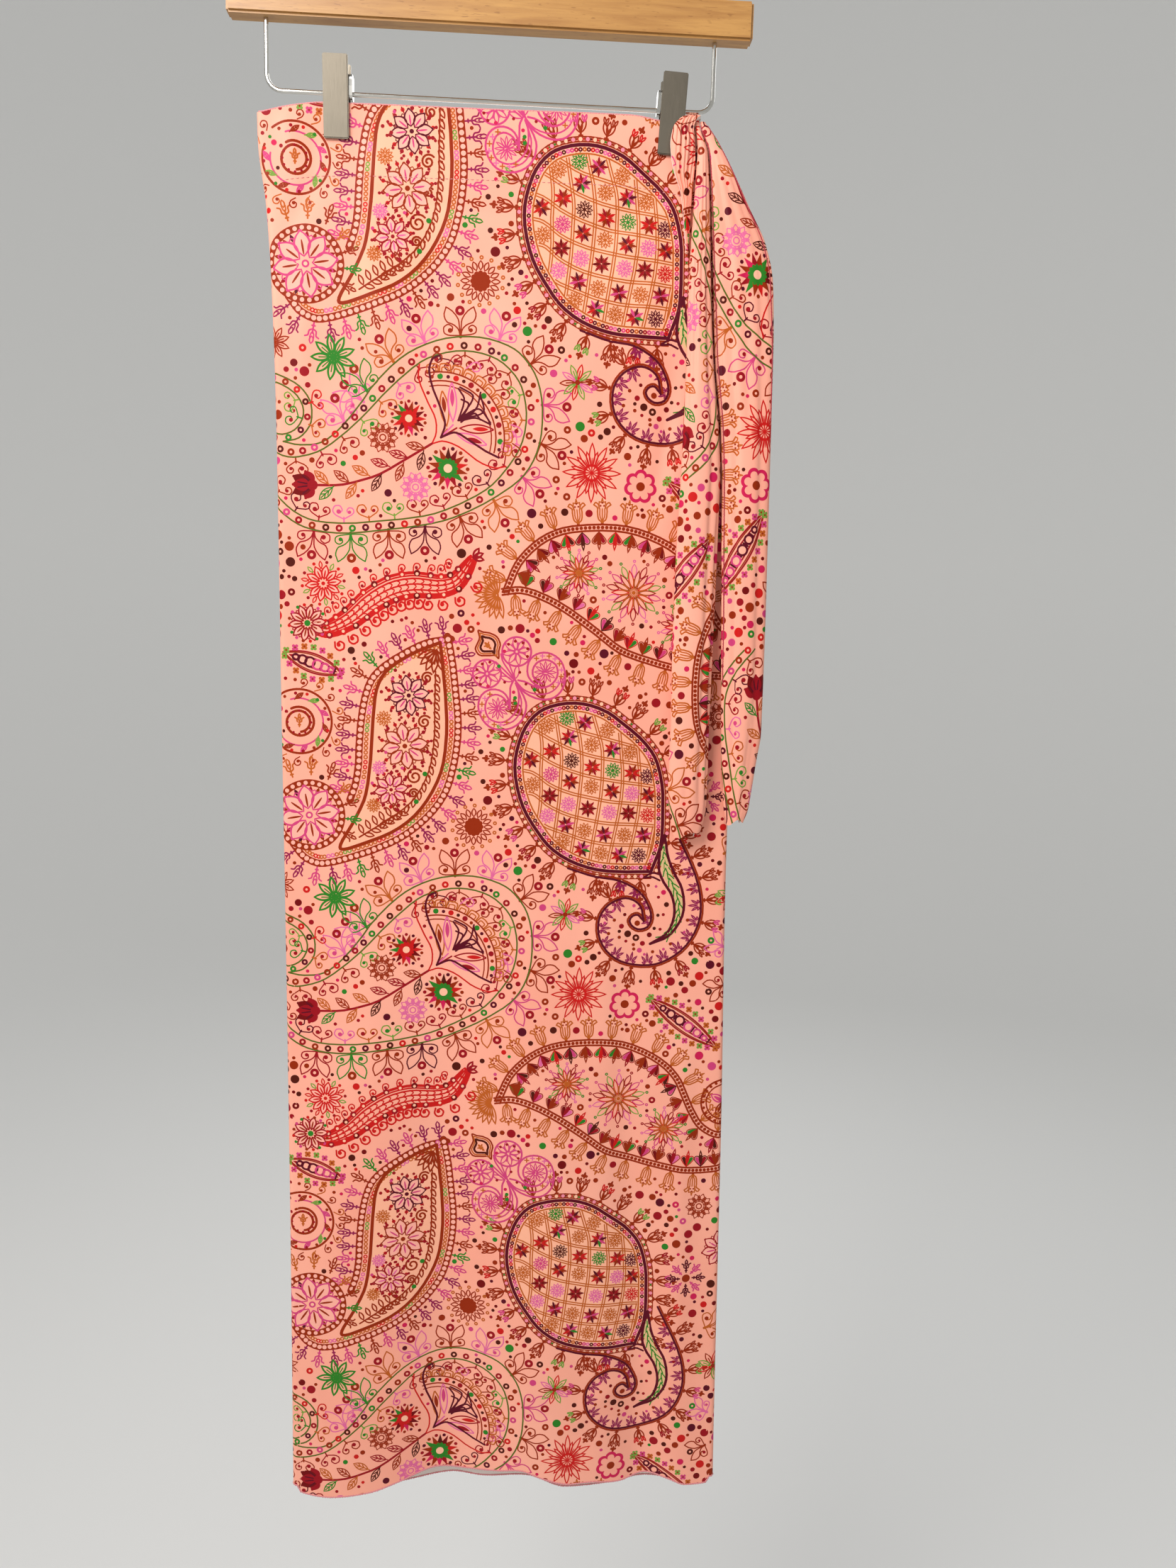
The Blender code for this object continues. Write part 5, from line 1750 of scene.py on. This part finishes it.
def shell(name, printed, plain):
    """A closed piece of cloth between two grids of points in millimetres.

    Its first faces are the printed squares, row by row. The grids' rims are joined.
    """
    rows, columns = printed.shape[:2]
    index = np.arange(rows * columns).reshape(rows, columns)
    front = np.stack([index[:-1, :-1], index[:-1, 1:], index[1:, 1:], index[1:, :-1]], -1)
    front = front.reshape(-1, 4)
    rear = front[:, ::-1] + rows * columns
    rim = np.concatenate([index[0, :], index[1:, -1], index[-1, -2::-1], index[-2:0:-1, 0]])
    after = np.roll(rim, -1)
    side = np.stack([rim, rim + rows * columns, after + rows * columns, after], -1)
    faces = np.concatenate([front, rear, side])
    points = np.concatenate([printed.reshape(-1, 3), plain.reshape(-1, 3)]) * MM
    first = np.cross(printed[0, 1] - printed[0, 0], printed[1, 0] - printed[0, 0])
    if np.dot(first, printed[0, 0] - plain[0, 0]) < 0:
        faces = faces[:, ::-1]
    mesh = bpy.data.meshes.new(name)
    mesh.from_pydata(points.tolist(), [], faces.tolist())
    for finish in (SATIN, BACK_OF_SATIN):
        mesh.materials.append(finish)
    marks = np.ones(len(faces), np.int32)
    marks[: len(front)] = 0
    mesh.polygons.foreach_set("material_index", marks)
    mesh.shade_smooth()
    mesh.set_sharp_from_angle(angle=SHARP_ANGLE)
    return add_piece(name, mesh)


def print_on(piece, printed, places):
    """Lays the print on a shell whose printed grid's points lie at these places of the chart."""
    mesh = piece.data
    loops = np.empty(len(mesh.loops), np.int32)
    mesh.loops.foreach_get("vertex_index", loops)
    squares = (printed.shape[0] - 1) * (printed.shape[1] - 1)
    crowded = lay_print(mesh, places.reshape(-1, 2)[loops[: squares * 4]].reshape(-1, 4, 2))
    print(piece.name, "squares:", squares, "with more strokes than they keep:", crowded)


# %% Front and back panel
ROWS, COLUMNS, TURN_COLUMNS = 380, 112, 5
BACK_MIRROR = 366.0


def panel_grid(side, hem, folds, creases):
    down, across = np.meshgrid(np.linspace(0, 1, ROWS), np.linspace(0, 1, COLUMNS), indexing="ij")
    top = through(WAIST_LINE, -150.4 + 309.8 * across)
    bottom = through(hem, -138.6 + 327.2 * across)
    z = top + (bottom - top) * down
    left, right = through(LEFT_EDGE, z) + EDGE_RADIUS, through(RIGHT_EDGE, z) - EDGE_RADIUS
    x = left + across * (right - left)
    y = sway(x, z) + side * half_gap(x, z, folds, creases)
    body = np.stack([x, y, z], -1)
    turn = np.linspace(0, math.pi / 2, TURN_COLUMNS + 1)[1:]
    ends = []
    for column, way in ((0, -1), (-1, 1)):
        at = body[:, column][:, None].repeat(TURN_COLUMNS, 1)
        middle = sway(at[..., 0], at[..., 2])
        at[..., 0] += way * EDGE_RADIUS * np.sin(turn)
        at[..., 1] = middle + side * np.maximum(EDGE_RADIUS * np.cos(turn), SEAM_GAP / 2)
        ends.append(at)
    grid = np.concatenate([ends[0][:, ::-1], body, ends[1]], 1)
    print_x = np.concatenate([
        x[:, :1] - EDGE_RADIUS * turn[::-1], x, x[:, -1:] + EDGE_RADIUS * turn,
    ], 1)
    return grid, np.stack([print_x, grid[..., 2]], -1)


def make_panel(name, side, hem, folds, creases):
    grid, places = panel_grid(side, hem, folds, creases)
    if side > 0:
        places[..., 0] = BACK_MIRROR - places[..., 0]
    normals = grid_normals(grid)
    normals *= -np.sign(normals[5, 60, 1]) * side
    plain = grid + normals * SHELL
    plain[:, [0, -1], 1:] = grid[:, [0, -1], 1:]
    piece = shell(name, grid, plain)
    print_on(piece, grid, places)
    return piece, grid, plain


skirt_front, front_grid, front_plain = make_panel(
    "front_panel", -1, FRONT_HEM, FRONT_FOLDS, FRONT_CREASES
)
skirt_back, back_grid, back_plain = make_panel("back_panel", 1, BACK_HEM, BACK_FOLDS, BACK_CREASES)
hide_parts("skirt_front")
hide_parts("skirt_back")

# %% [markdown]
# ## The hanging ends and the knot
#
# The tie is one strip of the same cloth, knotted through the waist corner, with both ends hanging
# down. Each end has rolled itself into a slim tube whose edges tuck inside at the back. A section
# of it is an ellipse with soft pleats, and below the slit the cloth runs on inside as a flap, so
# that the lower end shows the turns of the roll. The strip is cut across the cloth, so the print
# lies on its side there: one end shows it turned one way and the other the other way.

# %% Sections of the hanging ends
# Height, left, right, front and back of each section, and the tilt of its left side
TIE_FRONT = (
    (-141.8, 134.9, 138.2, -7.2, -4.4, 0), (-146, 135.6, 138.8, -8, -4.6, 0),
    (-153, 136.9, 141.2, -9.6, -4.7, 0), (-161.5, 137.6, 144.2, -11, -4.8, 0),
    (-175, 137, 145.4, -13, -5.2, 0), (-205, 135.5, 147, -17, -6.2, 0),
    (-247, 133.8, 149.2, -19.5, -7, 0), (-295, 134, 152.4, -21, -7.6, 0),
    (-342, 133.6, 158, -21.5, -8, 0), (-379, 133, 160.4, -21.5, -8, 0),
    (-419, 131.7, 160.4, -21.5, -8, 0), (-484, 131.2, 160, -22, -8, 0),
    (-550, 131.9, 159.6, -21, -8, 0), (-584, 131.6, 160, -20, -8, 0.02),
    (-601, 132.6, 160, -18.8, -8, 0.06), (-613, 134.2, 159, -17.8, -8, 0.12),
    (-621, 135.2, 157.6, -17, -8, 0.18), (-627, 136.8, 155.8, -16.4, -8, 0.22),
)
TIE_SIDE = (
    (-142.6, 138.8, 142.2, -7.2, -4.4, 0), (-147, 139.6, 145.4, -8, -4.6, 0),
    (-153, 142.2, 149.8, -8.8, -4.7, 0), (-161.5, 145.4, 155.2, -9.6, -4.8, 0),
    (-175, 146.8, 163, -11, -5, 0), (-198, 148.2, 174.8, -13, -5.4, 0),
    (-220, 149.4, 186, -14.5, -5.6, 0), (-244, 150.8, 191.8, -16, -5.8, 0),
    (-293, 153.7, 194.2, -17, -6, 0), (-341, 159.6, 194.8, -18.5, -6, 0),
    (-378, 162, 195.4, -19, -6, 0), (-418, 163.4, 196, -19, -6, 0),
    (-484, 166, 197, -19, -6, 0), (-550, 168.6, 197.4, -18.6, -6, 0),
    (-570, 169.6, 195, -18, -6, 0), (-592, 171.6, 192.4, -17, -6, 0),
    (-606, 172.8, 190.6, -16, -6.2, 0.06), (-616, 174.6, 187.4, -15.4, -6.4, 0.16),
)
# Pleats: degrees round from the front, width, depth, and the heights where they fade in and out
FRONT_PLEATS = (
    (38, 13, 0.18, -150, -640), (-30, 10, 0.18, -150, -340), (6, 8, 0.16, -150, -300),
    (-58, 12, 0.08, -260, -560), (70, 9, 0.12, -380, -640), (-10, 9, 0.09, -540, -660),
)
SIDE_PLEATS = (
    (-34, 12, 0.24, -150, -640), (40, 14, 0.15, -150, -640), (4, 8, 0.2, -150, -360),
    (66, 8, 0.1, -150, -300), (-62, 9, 0.12, -240, -520), (22, 9, 0.12, -520, -660),
    (-12, 8, 0.12, -560, -660),
)
PLEAT_IN, PLEAT_OUT = 40.0, 60.0
SLIT_DEG, FLAP_DEG, FLAP_BOW = 11.0, 95.0, 5.0
TUCK, MOST_TUCK = 2.6, 0.45
END_WAVE, WAVE_RISE = 1.6, 40.0
TIE_SHELL = 0.6
TIE_ROWS, TIE_TURNS, FLAP_TURNS = 190, 60, 14


def tie_sections(table, pleats):
    """The printed side of a rolled end, row by row, each row going round the roll."""
    rows = np.array(table, float)
    z = np.linspace(rows[0, 0], rows[-1, 0], TIE_ROWS)
    left, right, front, back, tilt = (
        through([(r[0], r[k]) for r in table], z)[:, None] for k in range(1, 6)
    )
    body = np.linspace(-180 + SLIT_DEG, 180 - SLIT_DEG, TIE_TURNS)
    flap = np.linspace(0, 1, FLAP_TURNS + 1)[1:]
    before = -180 + SLIT_DEG + FLAP_DEG * flap[::-1] - FLAP_BOW * np.sin(np.pi * flap[::-1])
    degrees = np.concatenate([before, body, -before[::-1]])
    tucked = np.concatenate([ease(flap[::-1] * 4), np.zeros(TIE_TURNS), ease(flap * 4)])
    half_wide, half_deep = (right - left) / 2, (back - front) / 2
    reach = np.ones((TIE_ROWS, len(degrees)))
    for at, width, depth, start, stop in pleats:
        grown = ease((start - z) / PLEAT_IN) * ease((z - stop) / PLEAT_OUT)
        reach -= depth * grown[:, None] * swell(degrees - at, width)
    angle = np.radians(degrees)
    thin = np.minimum(half_deep, half_wide)
    inset = 1.0 - tucked * np.minimum(MOST_TUCK, TUCK / thin)
    x = (left + right) / 2 + half_wide * np.sin(angle) * reach * inset
    y = (front + back) / 2 - half_deep * np.cos(angle) * reach * inset
    rise = ease((rows[-1, 0] + WAVE_RISE - z) / WAVE_RISE)[:, None]
    waves = END_WAVE * np.sin(angle * 3 + 0.8) * rise
    height = z[:, None] + tilt * (x - left) + waves
    return np.stack([x, y, height], -1)


def tie_places(grid, anchor, chart_anchor, turn_deg, stretch):
    """Where on the print a rolled end's points lie: round the roll, then turned with the strip."""
    steps = np.linalg.norm(np.diff(grid[..., :2], axis=1), axis=2)
    gone = np.concatenate([np.zeros((len(grid), 1)), np.cumsum(steps, 1)], 1)
    front = FLAP_TURNS + TIE_TURNS // 2
    round_roll = gone - gone[:, front : front + 1] + grid[:, front, 0][:, None]
    place = (round_roll - anchor[0]) + 1j * (grid[..., 2] - anchor[1]) / stretch
    place = place * turned(-turn_deg) + complex(*chart_anchor)
    return np.stack([place.real, place.imag], -1)


def make_tie(name, table, pleats, placing, solid):
    grid = tie_sections(table, pleats)
    down = np.gradient(grid[..., :2], axis=1)
    normal = np.stack([-down[..., 1], down[..., 0], np.zeros(down.shape[:2])], -1)
    normal /= np.maximum(np.linalg.norm(normal, axis=2, keepdims=True), TINY)
    piece = shell(name, grid, grid + normal * TIE_SHELL)
    print_on(piece, grid, tie_places(grid, *placing))
    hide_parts(solid)
    return piece, grid


tie_front, _ = make_tie(
    "front_end", TIE_FRONT, FRONT_PLEATS, ((146.0, -525.0), (71.0, -781.5), 88.0, 1.04), "tie_front"
)
tie_side, tie_side_grid = make_tie(
    "side_end", TIE_SIDE, SIDE_PLEATS, ((190.0, -343.0), (72.4, -746.0), -84.5, 1.04), "tie_side"
)

# %% [markdown]
# The knot's loop is a short band that comes over the waist edge beside the clip, is gathered
# across, and runs out to a point on the skirt. Its gathers are grooves along the band.

# %% The knot
# Middle, half width and crown of the band's inner face, from the back of the waist to its point
KNOT_BAND = (
    (135.6, 5.4, -164, 3.2, 0.8), (135.4, 5, -154, 4.4, 1), (135, 4.4, -147, 4.6, 1),
    (134.8, 2.8, -142.6, 4.6, 0.8), (134.8, 0, -141, 4.6, 0.6), (134.8, -4, -140.4, 4.6, 0.6),
    (133.8, -7.4, -141.2, 4.8, 0.8), (129.6, -8.8, -143.6, 5.8, 1.4), (127.2, -8.6, -149, 7, 2.6),
    (127.2, -8.2, -157, 8.2, 3), (128, -7.4, -166, 8, 2.8), (129.2, -6.6, -176, 6.6, 2.4),
    (131, -6, -186, 4.2, 1.8), (131.8, -5.8, -198, 2.8, 1.2), (132.4, -5.6, -212, 1.7, 0.6),
    (132.8, -5.4, -226, 0.7, 0.2),
)
# Gathers: where across the band, width and depth
KNOT_GATHERS = (
    (-0.66, 0.1, 1.1), (-0.3, 0.12, 1.9), (0.08, 0.09, 1.2), (0.42, 0.13, 1.9), (0.78, 0.08, 0.9),
)
KNOT_ROWS, KNOT_COLUMNS = 110, 40
KNOT_WALL, KNOT_LEAST = 2.0, 0.7
KNOT_CHART = (46, -690)
KNOT_STRETCH, KNOT_DRIFT = 1.4, 0.1


def make_knot():
    table = np.array(KNOT_BAND, float)
    at = np.linspace(0, len(table) - 1, KNOT_ROWS)
    x, y, z, half, crown = (
        through([(k, row[c]) for k, row in enumerate(KNOT_BAND)], at)[:, None] for c in range(5)
    )
    share = np.linspace(-1, 1, KNOT_COLUMNS)[None]
    inner = np.stack([x + half * share, y + 0 * share, z + 0 * share], -1)
    normal = grid_normals(inner)
    lift = KNOT_WALL + crown * (1 - share**2)
    wander = 0.2 * np.sin(at[:, None] * 0.9)
    for place, width, depth in KNOT_GATHERS:
        lift = lift - depth * swell(share - place - wander, width) * np.minimum(1.0, crown / 2)
    lift = lift + 0.25 * np.sin(at[:, None] * 2.1 + share * 2) * np.minimum(1.0, crown / 2)
    lift = np.maximum(lift, KNOT_LEAST)
    outward = -normal if normal[60, 20, 1] > 0 else normal
    outer = inner + outward * lift[..., None]
    piece = shell("knot_loop", outer, inner)
    gone = run_length(inner[:, KNOT_COLUMNS // 2])[:, None]
    print_x = share * half * KNOT_STRETCH + gone * KNOT_DRIFT + KNOT_CHART[0]
    print_z = -gone + KNOT_CHART[1] + 0 * share
    print_on(piece, outer, np.stack([print_x, print_z], -1))
    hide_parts("tie_knot")
    return piece


knot = make_knot()
print("knot faces:", len(knot.data.polygons))

# %% [markdown]
# ## Seams and edges
#
# The hem of each layer is finished with an overlock, a narrow roll of thread that hugs the raw
# edge and makes it ripple. A bump would be too shallow to show at the hem's silhouette, so it is a
# thin tube round the edge whose thickness beats with each loop of thread. The strip's own edges
# are overlocked in crimson, which shows as a dark line down the side end. A second crimson roll
# lies in the valley between the two ends: it stands for the strip's edge there and also paints
# the valley's dark crimson shade. Along the waist the cloth is turned down and held by a row of
# stitches.

# %% Overlocked edges
LOOP_PITCH = 1.9
STEPS_A_LOOP = 4
THREAD_SIDES = 7
BEAT, FRAY = 0.2, 0.08
ROLL = 0.85


def thread_roll(name, path, radius, finish=EDGE_THREAD):
    """A tube along a path in millimetres that swells with every loop of thread."""
    path = np.asarray(path, float)
    gone = run_length(path)
    stops = np.arange(0, gone[-1], LOOP_PITCH / STEPS_A_LOOP)
    at = np.stack([np.interp(stops, gone, path[:, k]) for k in range(3)], 1)
    way = np.gradient(at, axis=0)
    way /= np.linalg.norm(way, axis=1, keepdims=True)
    side = np.cross(way, [0.0, 1.0, 0.0])
    side /= np.linalg.norm(side, axis=1, keepdims=True)
    other = np.cross(way, side)
    turn = np.linspace(0, 2 * math.pi, THREAD_SIDES, endpoint=False)
    beat = np.sin(stops[:, None] / LOOP_PITCH * 2 * math.pi + turn)
    thick = radius * (1 + BEAT * beat + FRAY * random.normal(size=(len(stops), 1)))
    points = (
        at[:, None]
        + side[:, None] * (np.cos(turn) * thick)[..., None]
        + other[:, None] * (np.sin(turn) * thick)[..., None]
    )
    index, faces = hoop_faces(len(at), THREAD_SIDES)
    faces += [index[0, ::-1].tolist(), index[-1].tolist()]
    mesh = bpy.data.meshes.new(name)
    mesh.from_pydata((points.reshape(-1, 3) * MM).tolist(), [], faces)
    mesh.materials.append(finish)
    mesh.shade_smooth()
    builder = bmesh.new()
    builder.from_mesh(mesh)
    bmesh.ops.recalc_face_normals(builder, faces=builder.faces[:])
    builder.to_mesh(mesh)
    builder.free()
    piece = add_piece(name, mesh)
    return piece


def edge_path(grid, plain, row):
    return (grid[row] + plain[row]) / 2


front_hem = thread_roll(
    "front_hem_overlock", edge_path(front_grid, front_plain, -1), ROLL
)
back_hem = thread_roll(
    "back_hem_overlock", edge_path(back_grid, back_plain, -1), ROLL
)
front_waist = thread_roll(
    "front_waist_overlock", edge_path(front_grid, front_plain, 0)[3:-6], 0.6
)
strip_edge = thread_roll(
    "strip_edge", tie_side_grid[1:78, 56], 0.42, STRIP_THREAD_AND_VALLEY_SHADE
)
# A crimson roll in the valley between the two ends: the strip's edge there, and painted dark crimson
# shade in that valley.
valley_edge_painted_shade = thread_roll(
    "valley_edge_painted_shade", tie_side_grid[1:150, 31], 0.45, STRIP_THREAD_AND_VALLEY_SHADE
)
loops_in_hem = len(front_hem.data.vertices) // THREAD_SIDES // STEPS_A_LOOP
print("loops of thread in the front hem:", loops_in_hem)

# %% Waist stitches
STITCH, STITCH_GAP, STITCH_THICK = 2.4, 1.0, 0.26
STITCH_DROP = 45.0
STITCH_LIFT = 0.1


def stitch_row(name, grid, side):
    """Short raised threads along a line that lies below the waist edge."""
    row = np.argmin(np.abs(grid[:, :, 2] - (grid[0, :, 2] - STITCH_DROP)[None]), axis=0)
    path = grid[row, np.arange(grid.shape[1])][8:-8]
    gone = run_length(path)
    builder = bmesh.new()
    for start in np.arange(0, gone[-1] - STITCH, STITCH + STITCH_GAP):
        first, last = (
            np.array([np.interp(stop, gone, path[:, k]) for k in range(3)])
            for stop in (start, start + STITCH)
        )
        middle, way = Vector((first + last) / 2), Vector(last - first).normalized()
        placed = Matrix.Translation((middle + Vector((0, side * STITCH_LIFT, 0))) * MM)
        placed @= way.to_track_quat("X", "Z").to_matrix().to_4x4()
        placed @= Matrix.Diagonal((STITCH / 2 * MM, STITCH_THICK * MM, STITCH_THICK * MM, 1.0))
        bmesh.ops.create_icosphere(builder, subdivisions=1, radius=1.0, matrix=placed)
    mesh = bpy.data.meshes.new(name)
    builder.to_mesh(mesh)
    builder.free()
    mesh.materials.append(EDGE_THREAD)
    mesh.shade_smooth()
    piece = add_piece(name, mesh)
    return piece


front_stitches = stitch_row("front_waist_stitches", front_grid, -1)
back_stitches = stitch_row("back_waist_stitches", back_grid, 1)
print("points of the front stitches:", len(front_stitches.data.vertices))

# %% [markdown]
# ## The hanger's finishes
#
# The solids of the hanger already have the right shapes, so they stay and only get finishes. The
# bar is lacquered beech: long fibres along the bar, short dark flecks, and slow bands of colour.
# The clips are satin nickel, brushed along their length, and the hook, wire and hinges are
# brighter plating.

# %% Wood and metal
def grained(blank, stretch, scale, detail, distortion=0.0):
    """Noise drawn out along the piece by unequal scales."""
    spot = blank.node("ShaderNodeTexCoord", out="Object")
    drawn = blank.node("ShaderNodeMapping", {"Vector": spot, "Scale": stretch})
    settings = {"Vector": drawn, "Scale": scale, "Detail": detail, "Distortion": distortion}
    return blank.node("ShaderNodeTexNoise", settings)


def make_wood():
    constants = {"Coat Weight": 0.25, "Coat Roughness": 0.25}
    made, blank, shader = start_finish("lacquered beech", 0.38, constants)
    bands = grained(blank, (6.0, 60.0, 60.0), 3.0, 5.0, 0.6)
    fibre = grained(blank, (40.0, 900.0, 900.0), 2.0, 3.0)
    fleck = grained(blank, (90.0, 700.0, 700.0), 1.6, 1.0)
    light, dark, streak, spots = ((*linear(c), 1.0) for c in ("C08E4E", "A4713A", "9E6B34", "8A5A2B"))
    colour = mixed(((bands - 0.35) * 2.6).held(0.0, 1.0), light, dark)
    colour = mixed(((fibre - 0.5) * 1.4).held(0.0, 0.5), colour, streak)
    colour = mixed(((fleck - 0.66) * 9.0).held(0.0, 0.6), colour, spots)
    colour.into(shader, "Base Color")
    (0.3 + fibre * 0.18).into(shader, "Roughness")
    roughen(shader, fibre, 0.12, 0.0003)
    return made


def make_metal(name, code, low, high, scale, strength):
    made, blank, shader = start_finish(name, (low + high) / 2, {"Metallic": 1.0})
    lines = grained(blank, scale, 4.0, 3.0)
    wear = grained(blank, (1.0, 1.0, 1.0), 60.0, 4.0)
    bright = linear(code)
    duller = tuple(c * 0.8 for c in bright)
    mixed((wear - 0.3).held(0.0, 1.0), (*bright, 1.0), (*duller, 1.0)).into(shader, "Base Color")
    (low + lines * (high - low)).into(shader, "Roughness")
    roughen(shader, lines, strength, 0.0002)
    return made


BEECH = make_wood()
NICKEL = make_metal("satin nickel", "857D70", 0.28, 0.46, (300.0, 300.0, 12.0), 0.08)
PLATING = make_metal("bright plating", "D8D6D0", 0.1, 0.22, (60.0, 60.0, 60.0), 0.02)
NODE_FINISH = {"hanger_bar": BEECH, "hook": PLATING, "hook_ferrule": PLATING, "wire": PLATING}
for side in ("left", "right"):
    NODE_FINISH[f"clip_{side}_hinge"] = PLATING
    NODE_FINISH[f"clip_{side}_front"] = NODE_FINISH[f"clip_{side}_back"] = NICKEL
for node, finish in NODE_FINISH.items():
    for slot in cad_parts[node].material_slots:
        slot.material = finish
print("nodes with a finish:", len(NODE_FINISH))
